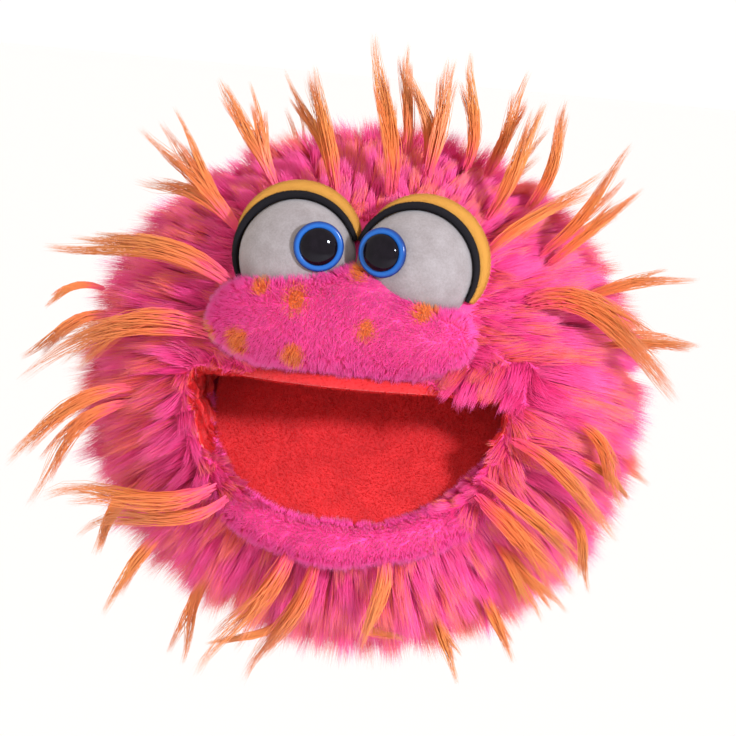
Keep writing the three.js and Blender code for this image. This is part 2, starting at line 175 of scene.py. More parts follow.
def mouth_cutter():
    """The air in front of the open mouth."""
    half_width, roof, behind, ahead = 56.5 * mm, 0.001, -0.096, -0.26
    rows = []
    for x in np.linspace(-half_width, half_width, 45):
        low = -depth_at(x) * math.sin(mouth_angle) - 2 * mm
        floor_y = fold.y + low / math.tan(mouth_angle)
        rows.append([(x, behind, roof), (x, ahead, roof), (x, ahead, low), (x, floor_y, low)])
    points = [p for row in rows for p in row]
    faces = [(3, 2, 1, 0)]
    for i in range(len(rows) - 1):
        for j in range(4):
            a, b = 4 * i + j, 4 * i + (j + 1) % 4
            faces.append((a, b, b + 4, a + 4))
    last = 4 * (len(rows) - 1)
    faces.append((last, last + 1, last + 2, last + 3))
    return mesh_from("mouth air", points, faces)


scalp = new_object("scalp", egg("scalp", ball_half, fold))
cutter = new_object("mouth air", mouth_cutter())
cut = scalp.modifiers.new("cut", "BOOLEAN")
cut.object = cutter
even = scalp.modifiers.new("even", "REMESH")
even.mode, even.voxel_size = "VOXEL", 2 * mm
soften = scalp.modifiers.new("soften", "SMOOTH")
soften.factor, soften.iterations = 0.5, 7
settle(scalp)
bpy.data.objects.remove(cutter)

# ---- long pink fur -----------------------------------------------------------------------------
# Six pairs of sewn panels of long-pile fur fabric. Each strand grows from the backing, leans away
# from the middle of the face, and runs together with its neighbours into a pointed wisp.
def add_node(tree, kind, plugs=None, **settings):
    """Adds a node, makes its settings, and joins or fills in its inputs."""
    node = tree.nodes.new(kind)
    for setting, value in settings.items():
        setattr(node, setting, value)
    for key, value in (plugs or {}).items():
        if isinstance(value, bpy.types.NodeSocket):
            tree.links.new(value, node.inputs[key])
        else:
            node.inputs[key].default_value = value
    return node


def ramp(tree, factor, stops):
    """Colours along a factor; each stop is a place and a colour."""
    node = add_node(tree, "ShaderNodeValToRGB", {0: factor})
    band = node.color_ramp
    while len(band.elements) < len(stops):
        band.elements.new(0.5)
    for element, (place, colour) in zip(band.elements, stops):
        element.position = place
        element.color = (*colour, 1)
    return node.outputs["Color"]


def mixed(tree, factor, first, second):
    plugs = {0: factor, 6: first, 7: second}
    return add_node(tree, "ShaderNodeMix", plugs, data_type="RGBA").outputs[2]


def tint(tree, shader, colour):
    tree.links.new(colour, shader.inputs["Base Color"])


def strand_map(tree):
    """The map that every strand carries: first its shade, then how far along it a point is."""
    place = add_node(tree, "ShaderNodeUVMap", uv_map="OFBake").outputs[0]
    return add_node(tree, "ShaderNodeSeparateXYZ", {0: place}).outputs


def random_value(tree, kind, low, high, seed, of=None):
    first, out = {"FLOAT_VECTOR": (0, 0), "FLOAT": (2, 1)}[kind]
    plugs = {first: low, first + 1: high, 8: seed}
    if of is not None:
        plugs[7] = of
    return add_node(tree, "FunctionNodeRandomValue", plugs, data_type=kind).outputs[out]


def number(tree, operation, *values):
    return add_node(
        tree, "ShaderNodeMath", dict(enumerate(values)), operation=operation
    ).outputs[0]


def vector(tree, operation, *values):
    plugs = dict(enumerate(values))
    if operation == "SCALE":
        plugs = {0: values[0], 3: values[1]}
    node = add_node(tree, "ShaderNodeVectorMath", plugs, operation=operation)
    return node.outputs[1 if operation == "LENGTH" else 0]


def spread(tree, name, kind="FLOAT"):
    """Reads a value that the mesh carries under a name."""
    return add_node(
        tree, "GeometryNodeInputNamedAttribute", {0: name}, data_type=kind
    ).outputs[0]


def keep_as(tree, geometry, name, value, kind="FLOAT", domain="POINT"):
    plugs = {0: geometry, 2: name, 3: value}
    return add_node(
        tree, "GeometryNodeStoreNamedAttribute", plugs, data_type=kind, domain=domain
    ).outputs[0]


def take_from(tree, geometry, value, index):
    plugs = {0: geometry, 1: value, 2: index}
    return add_node(
        tree, "GeometryNodeSampleIndex", plugs, data_type="FLOAT_VECTOR", domain="POINT"
    ).outputs[0]


def new_tree(name, inputs):
    tree = bpy.data.node_groups.new(name, "GeometryNodeTree")
    for label, kind in inputs:
        tree.interface.new_socket(name=label, in_out="INPUT", socket_type="NodeSocket" + kind)
    tree.interface.new_socket(name="Geometry", in_out="OUTPUT", socket_type="NodeSocketGeometry")
    return tree, add_node(tree, "NodeGroupInput").outputs


def one_strand(tree, steps):
    """A tapering strand with three sides and unit length, and how far along it each point is."""
    cone = add_node(
        tree, "GeometryNodeMeshCone", {0: 3, 1: steps, 2: 1, 3: 0.0, 4: 1.0, 5: 1.0}
    ).outputs[0]
    place = add_node(tree, "GeometryNodeInputPosition").outputs[0]
    along = add_node(tree, "ShaderNodeSeparateXYZ", {0: place}).outputs[2]
    strand = keep_as(tree, cone, "along", along)
    index = add_node(tree, "GeometryNodeInputIndex").outputs[0]
    turn = number(tree, "MULTIPLY", number(tree, "MODULO", index, 3.0), 0.006)
    strand = keep_as(tree, strand, "turn", turn)
    fuller = number(tree, "MULTIPLY_ADD", spread(tree, "along"), 1.1, 1.0)
    shape = add_node(tree, "ShaderNodeCombineXYZ", {0: fuller, 1: fuller, 2: 1.0}).outputs[0]
    fuller_place = vector(tree, "MULTIPLY", place, shape)
    return add_node(tree, "GeometryNodeSetPosition", {0: strand, 2: fuller_place}).outputs[0]


def finish_tree(tree, geometry, material):
    real = add_node(tree, "GeometryNodeRealizeInstances", {0: geometry}).outputs[0]
    painted = add_node(tree, "GeometryNodeSetMaterial", {0: real, 2: material}).outputs[0]
    add_node(tree, "NodeGroupOutput", {0: painted})
    return tree


def strand_uv(tree, geometry):
    """The strand's own map: across is its shade, and up is how far along it is."""
    across = number(tree, "ADD", spread(tree, "shade"), spread(tree, "turn"))
    place = add_node(tree, "ShaderNodeCombineXYZ", {0: across, 1: spread(tree, "along")})
    return keep_as(tree, geometry, "OFBake", place.outputs[0], "FLOAT2", "CORNER")


def pile_tree():
    tree, given = new_tree("fur pile", (
        ("Backing", "Geometry"),
        ("Strands per square metre", "Float"),
        ("Length", "Float"),
        ("Thickness", "Float"),
        ("Steps along", "Int"),
        ("Clump spacing", "Float"),
        ("Clumping", "Float"),
        ("Puff", "Float"),
        ("Droop", "Float"),
        ("Unruly", "Float"),
        ("With backing", "Bool"),
        ("Seed", "Int"),
        ("Material", "Material"),
    ))
    backing, seed = given["Backing"], given["Seed"]
    slot = add_node(tree, "GeometryNodeInputMaterialIndex").outputs[0]
    outside = add_node(
        tree, "FunctionNodeCompare", {2: slot, 3: 0}, data_type="INT", operation="EQUAL"
    ).outputs[0]
    thick = number(tree, "MULTIPLY", given["Strands per square metre"], spread(tree, "grow"))
    grown = add_node(
        tree,
        "GeometryNodeDistributePointsOnFaces",
        {0: backing, 1: outside, 4: thick, 6: seed},
    )
    few = number(tree, "DIVIDE", 1.0, number(tree, "POWER", given["Clump spacing"], 2.0))
    middles = add_node(
        tree,
        "GeometryNodeDistributePointsOnFaces",
        {0: backing, 1: outside, 4: few, 6: number(tree, "ADD", seed, 7.0)},
    ).outputs[0]
    root = add_node(tree, "GeometryNodeInputPosition").outputs[0]
    near = add_node(tree, "GeometryNodeSampleNearest", {0: middles}).outputs[0]
    middle = take_from(tree, middles, root, near)
    way = spread(tree, "way", "FLOAT_VECTOR")
    wisp_way = take_from(tree, middles, way, near)

    length = number(tree, "MULTIPLY", given["Length"], spread(tree, "pile"))
    length = number(tree, "MULTIPLY", length, random_value(tree, "FLOAT", 0.78, 1.12, seed))
    wisp_length = random_value(tree, "FLOAT", 0.8, 1.15, 3, near)
    length = number(tree, "MULTIPLY", length, wisp_length)
    shake = random_value(tree, "FLOAT_VECTOR", (-1.0,) * 3, (1.0,) * 3, seed)
    shake = vector(tree, "SCALE", shake, given["Unruly"])
    wisp_shake = random_value(tree, "FLOAT_VECTOR", (-1.0,) * 3, (1.0,) * 3, 5, near)
    wisp_shake = vector(tree, "SCALE", wisp_shake, given["Unruly"])

    def tip_from(start, direction, unrest):
        shaken = vector(tree, "NORMALIZE", vector(tree, "ADD", direction, unrest))
        return vector(tree, "ADD", start, vector(tree, "SCALE", shaken, length))

    own_tip = tip_from(root, way, shake)
    apart = vector(tree, "SCALE", vector(tree, "SUBTRACT", root, middle), 0.15)
    wisp_tip = vector(tree, "ADD", tip_from(middle, wisp_way, wisp_shake), apart)
    pull = vector(tree, "SCALE", vector(tree, "SUBTRACT", wisp_tip, own_tip), given["Clumping"])
    span = vector(tree, "SUBTRACT", vector(tree, "ADD", own_tip, pull), root)
    span_length = vector(tree, "LENGTH", span)

    points = grown.outputs[0]
    puff = number(tree, "MULTIPLY", number(tree, "MULTIPLY", given["Puff"], span_length), 4.0)
    points = keep_as(
        tree, points, "bulge", vector(tree, "SCALE", grown.outputs[1], puff), "FLOAT_VECTOR"
    )
    sag = number(tree, "MULTIPLY", number(tree, "MULTIPLY", given["Droop"], span_length), -1.0)
    fall = add_node(tree, "ShaderNodeCombineXYZ", {2: sag}).outputs[0]
    points = keep_as(tree, points, "fall", fall, "FLOAT_VECTOR")
    shade = random_value(tree, "FLOAT", 0.0, 0.2, seed)
    wisp_shade = random_value(tree, "FLOAT", 0.0, 0.24, 11, near)
    shade = number(tree, "ADD", shade, wisp_shade)
    chance = random_value(tree, "FLOAT", 0.02, 0.98, number(tree, "ADD", seed, 3.0))
    spotted = number(tree, "GREATER_THAN", spread(tree, "spot"), chance)
    points = keep_as(tree, points, "shade", number(tree, "MULTIPLY_ADD", spotted, 0.5, shade))

    thickness = given["Thickness"]
    size = add_node(tree, "ShaderNodeCombineXYZ", {0: thickness, 1: thickness, 2: span_length})
    turned = add_node(tree, "FunctionNodeAlignRotationToVector", {2: span}, axis="Z").outputs[0]
    placed = add_node(
        tree,
        "GeometryNodeInstanceOnPoints",
        {0: points, 2: one_strand(tree, given["Steps along"]), 5: turned, 6: size.outputs[0]},
    ).outputs[0]
    strands = add_node(tree, "GeometryNodeRealizeInstances", {0: placed}).outputs[0]
    along = spread(tree, "along")
    rise = number(tree, "MULTIPLY", along, number(tree, "SUBTRACT", 1.0, along))
    bulge = vector(tree, "SCALE", spread(tree, "bulge", "FLOAT_VECTOR"), rise)
    fallen = vector(
        tree, "SCALE", spread(tree, "fall", "FLOAT_VECTOR"), number(tree, "MULTIPLY", along, along)
    )
    strands = add_node(
        tree, "GeometryNodeSetPosition", {0: strands, 3: vector(tree, "ADD", bulge, fallen)}
    ).outputs[0]
    strands = strand_uv(tree, strands)
    under = number(tree, "MULTIPLY_ADD", spread(tree, "spot"), 0.48, 0.02)
    under = add_node(tree, "ShaderNodeCombineXYZ", {0: under, 1: 0.35}).outputs[0]
    cloth = keep_as(tree, backing, "OFBake", under, "FLOAT2", "CORNER")
    kept = add_node(
        tree, "GeometryNodeSwitch", {0: given["With backing"], 2: cloth}, input_type="GEOMETRY"
    ).outputs[0]
    together = add_node(tree, "GeometryNodeJoinGeometry", {0: kept}).inputs[0]
    tree.links.new(strands, together)
    return finish_tree(tree, together.node.outputs[0], given["Material"])


def add_growth(made, tree, amounts):
    growth = made.modifiers.new("growth", "NODES")
    growth.node_group = tree
    for item in tree.interface.items_tree:
        name = item.name.replace(" ", "_")
        if item.in_out == "INPUT" and name in amounts:
            growth[item.identifier] = amounts[name]


def clean_up(mesh, material, working_values):
    """Drops the values that were only needed for growing, and paints the mesh."""
    for name in working_values.split():
        if name in mesh.attributes:
            mesh.attributes.remove(mesh.attributes[name])
    mesh.materials.clear()
    mesh.materials.append(material)


def grow(made, tree, material, **amounts):
    """Runs a tree on an object and leaves one plain mesh with one material."""
    add_growth(made, tree, {"Material": material, "With_backing": True, **amounts})
    settle(made)
    mesh = made.data
    clean_up(mesh, material, "along turn bulge fall shade grow way pile spot")
    mesh.polygons.foreach_set("material_index", np.zeros(len(mesh.polygons), np.int32))
    return made


def carry(mesh, name, values):
    """Stores a number or a vector for each vertex under a name."""
    values = np.asarray(values, np.float32)
    kind, field = ("FLOAT_VECTOR", "vector") if values.ndim == 2 else ("FLOAT", "value")
    mesh.attributes.new(name, kind, "POINT").data.foreach_set(field, values.ravel())


def line_shell(made, thickness):
    """Gives a sheet its cloth thickness inward. The inner face is marked with slot 1."""
    made.data.materials.append(None)
    made.data.materials.append(None)
    wall = made.modifiers.new("wall", "SOLIDIFY")
    wall.thickness, wall.offset = thickness, -1
    wall.material_offset = wall.material_offset_rim = 1


def vertex_table(mesh):
    """Vertex places and outward directions as rows of numbers."""
    places = np.zeros(len(mesh.vertices) * 3, np.float32)
    mesh.vertices.foreach_get("co", places)
    outward = np.zeros(len(mesh.vertices) * 3, np.float32)
    mesh.vertices.foreach_get("normal", outward)
    return places.reshape(-1, 3).astype(float), outward.reshape(-1, 3).astype(float)


def ease(low, high, values):
    t = np.clip((values - low) / (high - low), 0, 1)
    return t * t * (3 - 2 * t)


def unit(rows):
    return rows / np.maximum(np.linalg.norm(rows, axis=1, keepdims=True), 1e-9)


def fur_paint():
    material, tree, shader = paint("long pink fur", 0.62, Sheen_Weight=0.12, Sheen_Roughness=0.4)
    split = strand_map(tree)
    # Each ramp runs from root to tip; the darker roots are painted shade down among the strands.
    hot = ramp(tree, split[1], (
        (0.0, (0.52, 0.008, 0.10)),
        (0.35, (0.84, 0.028, 0.22)),
        (0.8, (0.90, 0.050, 0.29)),
        (1.0, (0.92, 0.10, 0.37)),
    ))
    pale = ramp(tree, split[1], (
        (0.0, (0.48, 0.010, 0.10)),
        (0.4, (0.80, 0.05, 0.23)),
        (1.0, (0.90, 0.15, 0.41)),
    ))
    sunset = ramp(tree, split[1], (
        (0.0, (0.50, 0.02, 0.04)),
        (0.4, (0.84, 0.10, 0.07)),
        (1.0, (0.90, 0.22, 0.14)),
    ))
    choice = add_node(tree, "ShaderNodeMapRange", {0: split[0], 1: 0.08, 2: 0.34}).outputs[0]
    warm = add_node(tree, "ShaderNodeMapRange", {0: split[0], 1: 0.27, 2: 0.33}).outputs[0]
    tone = mixed(tree, warm, mixed(tree, choice, hot, pale), sunset)
    lined = number(tree, "GREATER_THAN", split[0], 0.47)
    # The red nap of the mouth's side walls is likewise darker at the root: painted shade among its
    # fibres.
    red = ramp(tree, split[1], ((0.0, (0.50, 0.004, 0.007)), (1.0, (0.80, 0.012, 0.016))))
    tint(tree, shader, mixed(tree, lined, tone, red))
    return material


fur = fur_paint()
fur_pile = pile_tree()
eye_middle = {-1: (-21.2 * mm, 44.4 * mm), 1: (21.2 * mm, 44.4 * mm)}
lip_line = np.array([
    (x, -depth_at(x) * math.sin(mouth_angle))
    for x in np.linspace(-mouth_half_width, mouth_half_width, 61)
])
pile_length, hair_thickness, cloth_thickness = 20 * mm, 0.14 * mm, 1.2 * mm
eye_clearing, muzzle_half = 25 * mm, (44, 20)

faces = np.array([list(p.vertices) for p in scalp.data.polygons])
places, outward = vertex_table(scalp.data)
middles = places[faces].mean(axis=1) - np.array(fold)
facing = unit(outward[faces].mean(axis=1))
angle = np.degrees(np.arctan2(middles[:, 2], -middles[:, 1]))
within = np.abs(middles[:, 0]) < 56 * mm
up_into_mouth = np.array((0, -math.sin(mouth_angle), math.cos(mouth_angle)))
reach = np.hypot(middles[:, 1], middles[:, 2])
plate = within & (reach < np.array([depth_at(x) for x in middles[:, 0]]) + 1 * mm)
palate = plate & (facing[:, 2] < -0.75) & (np.abs(middles[:, 2]) < 4 * mm)
floor = plate & (facing @ up_into_mouth > 0.8) & (angle > -56) & (angle < 0)
cuff_hole = (middles[:, 1] > 0) & (
    (middles[:, 0] / (42 * mm)) ** 2 + (middles[:, 2] / (33 * mm)) ** 2 < 1
)
bare = palate | floor | cuff_hole


def panel(name, chosen, side, seed):
    """One fur panel: its part of the backing, with the strands that grow from it."""
    half = ((middles[:, 0] >= 0) == (side > 0)) & chosen & ~bare
    used, local = np.unique(faces[half], return_inverse=True)
    mesh = mesh_from(name, places[used], local.reshape(-1, 4))
    spot, out = places[used] - np.array(fold), outward[used]
    x, y, z = spot.T
    radial = unit(np.column_stack((x, np.zeros_like(x), z)))
    front = ease(-0.2, 0.7, -out[:, 1])[:, None]
    along_cloth = unit(radial - out * np.sum(radial * out, axis=1)[:, None])
    way = out * (0.9 - 0.4 * front) + along_cloth * (0.35 + 0.45 * front)
    way += np.array((0, 0, -1)) * (0.12 + 0.15 * (1 - front))
    grow_here, pile = np.ones(len(x)), 1 + 0.2 * ease(40 * mm, 80 * mm, -x)
    for eye_x, eye_z in eye_middle.values():
        from_eye = np.column_stack((x - eye_x, np.zeros_like(x), z - eye_z))
        away = np.linalg.norm(from_eye, axis=1) + 999 * (y > 0)
        behind_lid = (z > 56 * mm) & (y > -40 * mm)
        grow_here *= (away > eye_clearing) | behind_lid
        pile *= 0.42 + 0.58 * ease(24 * mm, 44 * mm, away)
        way += 0.5 * unit(from_eye) * (1 - ease(26 * mm, 40 * mm, away))[:, None]
    round_muzzle = np.hypot(
        (x / mm + 2.5) / muzzle_half[0], (z / mm - 18) / muzzle_half[1]
    ) + 9 * (y > 0)
    grow_here *= round_muzzle > 1
    pile *= 0.45 + 0.55 * ease(1, 1.6, round_muzzle)
    # Short hairs over the upper lip, and a soft lobe that hangs over the mouth's right corner.
    over_mouth = (np.abs(x) < 54 * mm) & (z > -3 * mm) & (z < 9 * mm) & (y < 0)
    pile[over_mouth] = 0.25
    way[over_mouth] = np.array((0, -0.7, 0.5)) + 0.3 * radial[over_mouth]
    grow_here *= ~(over_mouth & (z < 2.5 * mm))
    lobe = (x > 36 * mm) & (x < 64 * mm) & (z > 0) & (z < 15 * mm) & (y < -12 * mm)
    pile[lobe] = 0.55
    way[lobe] = np.array((-0.2, -0.75, -0.5))
    grow_here[lobe] = round_muzzle[lobe] > 0.85
    # The pile shortens at the lower lip and turns in toward the mouth.
    lip_gap = np.min(np.hypot(x[:, None] - lip_line[:, 0], z[:, None] - lip_line[:, 1]), axis=1)
    lip_gap = lip_gap + 999 * ((y > 0) | (z > 4 * mm))
    pile *= 0.3 + 0.7 * ease(3 * mm, 20 * mm, lip_gap)
    to_mouth = unit(np.column_stack((-x, -0.03 + 0 * x, -0.028 - z)))
    turned = (1 - ease(3 * mm, 11 * mm, lip_gap))[:, None]
    way = unit(way) * (1 - 0.75 * turned) + to_mouth * 0.75 * turned
    # The side walls inside the mouth have the short red nap of the lining.
    inner_wall = (out[:, 0] * side < -0.15) & (np.abs(x) > 48 * mm) & (z < 0)
    near_fold = (np.abs(x) < 58 * mm) & (np.abs(z) < 4 * mm) & (y < 0)
    inner_wall |= (out[:, 2] < -0.35) & near_fold
    pile[inner_wall] = 0.08
    way[inner_wall] = out[inner_wall] + np.array((0, -0.6, 0))
    grow_here[inner_wall] = 1
    carry(mesh, "grow", grow_here)
    carry(mesh, "pile", pile)
    carry(mesh, "way", unit(way))
    carry(mesh, "spot", inner_wall.astype(float))
    made = new_object(name, mesh)
    line_shell(made, cloth_thickness)
    grow(
        made, fur_pile, fur, Strands_per_square_metre=3.7e6, Length=pile_length,
        Thickness=hair_thickness, Steps_along=1, Clump_spacing=5.2 * mm, Clumping=0.58,
        Puff=0.08, Droop=0.15, Unruly=0.28, Seed=seed,
    )
    return made


brow = (angle >= 0) & (angle < 92)
crown = angle >= 92
cheek_top = (angle < 0) & (angle >= -24) & ~within
cheek_low = (angle < -24) & (angle >= -48) & ~within
chin = ((angle < -48) | (within & (angle < 0))) & (angle >= -92)
nape = angle < -92
panels = {}
for side, word in ((-1, "left"), (1, "right")):
    for i, (part, chosen) in enumerate((
        ("forehead", brow), ("crown", crown), ("upper_cheek", cheek_top),
        ("lower_cheek", cheek_low), ("chin", chin), ("nape", nape),
    )):
        panels[part, word] = panel(f"{part}_fur_{word}", chosen, side, 20 + i * 2 + (side > 0))
    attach(panels["forehead", word], "upper_face")
    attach(panels["chin", word], "lower_jaw")
    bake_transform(panels["crown", word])
    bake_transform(panels["nape", word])
    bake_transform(panels["upper_cheek", word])
    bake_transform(panels["lower_cheek", word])
bpy.data.objects.remove(scalp)
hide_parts("upper_fur_panel")
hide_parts("chin_fur_panel")
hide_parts("crown_stretch_panel", "back_fur_panel")
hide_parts("nape_stretch_panel")
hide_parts("cheek_gusset_left")
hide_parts("cheek_gusset_right")

# ---- eyes --------------------------------------------------------------------------------------
# Two padded domes of white felt pressed together over the muzzle. Each has a band of black felt
# along its top edge and a rolled ochre felt lid behind that. The blue plastic eye with its domed
# black pupil is set toward the nose on a stem that a washer holds inside the head.
eye_y, dome_half, dome_depth = -146 * mm, 21 * mm, 17 * mm
disc_place, disc_turn = Vector((11.2, -163.3, 50)) * mm, math.radians(12)
disc_radius, pupil_radius, pupil_height = 9 * mm, 6.75 * mm, 2.7 * mm


def own_place(tree):
    return add_node(tree, "ShaderNodeTexCoord").outputs["Object"]


def noise(tree, scale, detail, *rough):
    plugs = {0: own_place(tree), 2: scale, 3: detail, **dict(enumerate(rough, 4))}
    return add_node(tree, "ShaderNodeTexNoise", plugs).outputs[0]


def raise_by(tree, shader, height, strength, distance):
    """Lets a pattern stand up a little from the surface."""
    bump = add_node(tree, "ShaderNodeBump", {0: strength, 1: distance, 3: height}).outputs[0]
    tree.links.new(bump, shader.inputs["Normal"])


def smooth(mesh):
    mesh.polygons.foreach_set("use_smooth", [True] * len(mesh.polygons))


def felt_paint(name, colour, dark, scale=900):
    material, tree, shader = paint(name, 0.9, Sheen_Weight=0.25, Sheen_Roughness=0.5)
    fibre, cloud = noise(tree, scale, 6.0, 0.7), noise(tree, scale / 8, 3.0)
    blotch = number(tree, "MULTIPLY_ADD", cloud, 0.5, number(tree, "MULTIPLY", fibre, 0.5))
    tint(tree, shader, ramp(tree, blotch, ((0.35, dark), (0.62, colour))))
    raise_by(tree, shader, fibre, 0.35, 0.0006)
    return material


def fuzz_paint(name, low, high, roughness=0.85):
    """Colour for short standing fibres: darker at the foot, which is painted shade among the
    fibres, and a little different each.
    """
    material, tree, shader = paint(name, roughness, Specular_IOR_Level=0.25)
    split = strand_map(tree)
    mix = number(tree, "MULTIPLY_ADD", split[1], 0.6, split[0])
    tint(tree, shader, ramp(tree, mix, ((0.0, low), (0.8, high))))
    return material


def turned_round(name, profile, segments=64):
    """A shape turned about the line of sight. The profile is (radius, distance behind)."""
    work = bmesh.new()
    rings = []
    for radius, behind in profile:
        count = 1 if radius == 0 else segments
        ring = [
            work.verts.new((
                radius * math.cos(2 * math.pi * i / segments), behind,
                radius * math.sin(2 * math.pi * i / segments),
            ))
            for i in range(count)
        ]
        rings.append(ring)
    for near, far in zip(rings, rings[1:]):
        for i in range(segments):
            j = (i + 1) % segments
            corners = [
                near[i % len(near)], near[j % len(near)], far[j % len(far)], far[i % len(far)],
            ]
            work.faces.new(list(dict.fromkeys(corners)))
    mesh = mesh_of(work, name)
    smooth(mesh)
    return mesh


def on_eye_line(mesh, side):
    for vert in mesh.vertices:
        vert.co.rotate(Quaternion((0, 0, 1), -side * disc_turn))
        vert.co += Vector((side * disc_place.x, disc_place.y, disc_place.z))
    mesh.update()


def disc_back(side):
    """A point and a direction: the plane that the back of the plastic eye lies on."""
    out = Vector((0, -1, 0))
    out.rotate(Quaternion((0, 0, 1), -side * disc_turn))
    return Vector((side * disc_place.x, disc_place.y, disc_place.z)) - out * 2 * mm, out


def make_dome(side, word):
    """A ball cut flat behind, and pressed flat where the back of the plastic eye is pulled in."""
    mesh = egg(
        f"felt_eye_{word}", Vector((dome_half, dome_depth, dome_half)),
        Vector((side * eye_middle[1][0], eye_y, eye_middle[1][1])),
    )
    seat, out = disc_back(side)
    for vert in mesh.vertices:
        vert.co.y = min(vert.co.y, eye_y + 5 * mm)
        ahead = (vert.co - seat).dot(out)
        apart = (vert.co - seat - out * ahead).length
        pressed = float(1 - ease(8.6 * mm, 12.5 * mm, apart))
        if ahead > -0.4 * mm:
            vert.co -= out * (ahead + 0.4 * mm) * pressed
    mesh.update()
    return new_object(f"felt_eye_{word}", mesh)


def join_rings(work, rings):
    for near, far in zip(rings, rings[1:]):
        for j in range(len(near)):
            k = (j + 1) % len(near)
            work.faces.new((near[j], near[k], far[k], far[j]))


def band_round(name, side, inner, outer, front, back):
    """A soft roll round the dome, from the nose side over the top to the outer side.
    The inner and outer radius, front and back are given for each place along it."""
    steps, around, first_turn, last_turn = 80, 14, 22, 206
    work = bmesh.new()
    rings = []
    for i in range(steps + 1):
        part = i / steps
        turn = math.radians(first_turn + (last_turn - first_turn) * part)
        middle, half = (inner(part) + outer(part)) / 2, (outer(part) - inner(part)) / 2
        deep, half_deep = (front(part) + back(part)) / 2, (back(part) - front(part)) / 2
        ring = []
        for j in range(around):
            s = 2 * math.pi * j / around
            across = math.copysign(abs(math.cos(s)) ** 0.7, math.cos(s))
            behind = math.copysign(abs(math.sin(s)) ** 0.7, math.sin(s))
            radius = middle + half * across
            x = side * (eye_middle[1][0] - radius * math.cos(turn))
            x = side * max(side * x, 0.15 * mm)
            ring.append(work.verts.new((
                x, eye_y + deep + half_deep * behind, eye_middle[1][1] + radius * math.sin(turn)
            )))
        rings.append(ring)
    join_rings(work, rings)
    work.faces.new(rings[0])
    work.faces.new(rings[-1])
    return new_object(name, mesh_of(work, name))


def short_nap(made, material, length, density, seed, thickness=0.11 * mm, **more):
    """Stands short fibres all over a closed piece of felt or plush."""
    mesh = made.data
    _, out = vertex_table(mesh)
    for name, value in (("grow", 1), ("pile", 1), ("spot", 0)):
        if name not in mesh.attributes:
            carry(mesh, name, np.full(len(out), value))
    if "way" not in mesh.attributes:
        carry(mesh, "way", out)
    amounts = dict(
        Strands_per_square_metre=density, Length=length, Thickness=thickness, Steps_along=1,
        Clump_spacing=3 * mm, Clumping=0.0, Puff=0.0, Droop=0.05, Unruly=0.55, Seed=seed,
    )
    amounts.update(more)
    grow(made, fur_pile, material, **amounts)
    smooth(made.data)
    return made


def crest(part, power):
    """Nothing at both ends of a band and 1 in its middle."""
    return math.sin(math.pi * min(max(part, 0.001), 0.999)) ** power


white_felt = felt_paint("white felt", (0.30, 0.265, 0.258), (0.22, 0.186, 0.178), 1300)
black_felt = fuzz_paint("black felt", (0.003, 0.002, 0.003), (0.012, 0.010, 0.014))
ochre_felt = fuzz_paint("ochre felt", (0.44, 0.20, 0.032), (0.62, 0.30, 0.05))
# How much of the arc shows each lid: one runs out early at its outer end, the other at the nose.
lid_span = {-1: (-0.02, 0.80), 1: (0.12, 1.05)}

blue, tree, shader = paint("blue plastic", 0.2, Specular_IOR_Level=0.3)
flip = vector(tree, "ABSOLUTE", own_place(tree))
from_middle = vector(tree, "SUBTRACT", flip, tuple(Vector((1, -1, 1)) * disc_place))
ring = number(tree, "DIVIDE", vector(tree, "LENGTH", from_middle), disc_radius)
speck = noise(tree, 700.0, 4.0)
ring = number(tree, "ADD", ring, number(tree, "MULTIPLY_ADD", speck, 0.06, -0.03))
tint(tree, shader, ramp(tree, ring, (
    (0.70, (0.008, 0.085, 0.34)), (0.86, (0.010, 0.105, 0.38)),
    (0.95, (0.005, 0.045, 0.21)), (1.0, (0.003, 0.022, 0.12)),
)))

black, tree, shader = paint("polished black plastic", 0.05, Specular_IOR_Level=0.16)
haze = noise(tree, 400.0, 3.0)
tint(tree, shader, ramp(tree, haze, ((0.3, (0.002, 0.001, 0.003)), (0.7, (0.005, 0.003, 0.006)))))

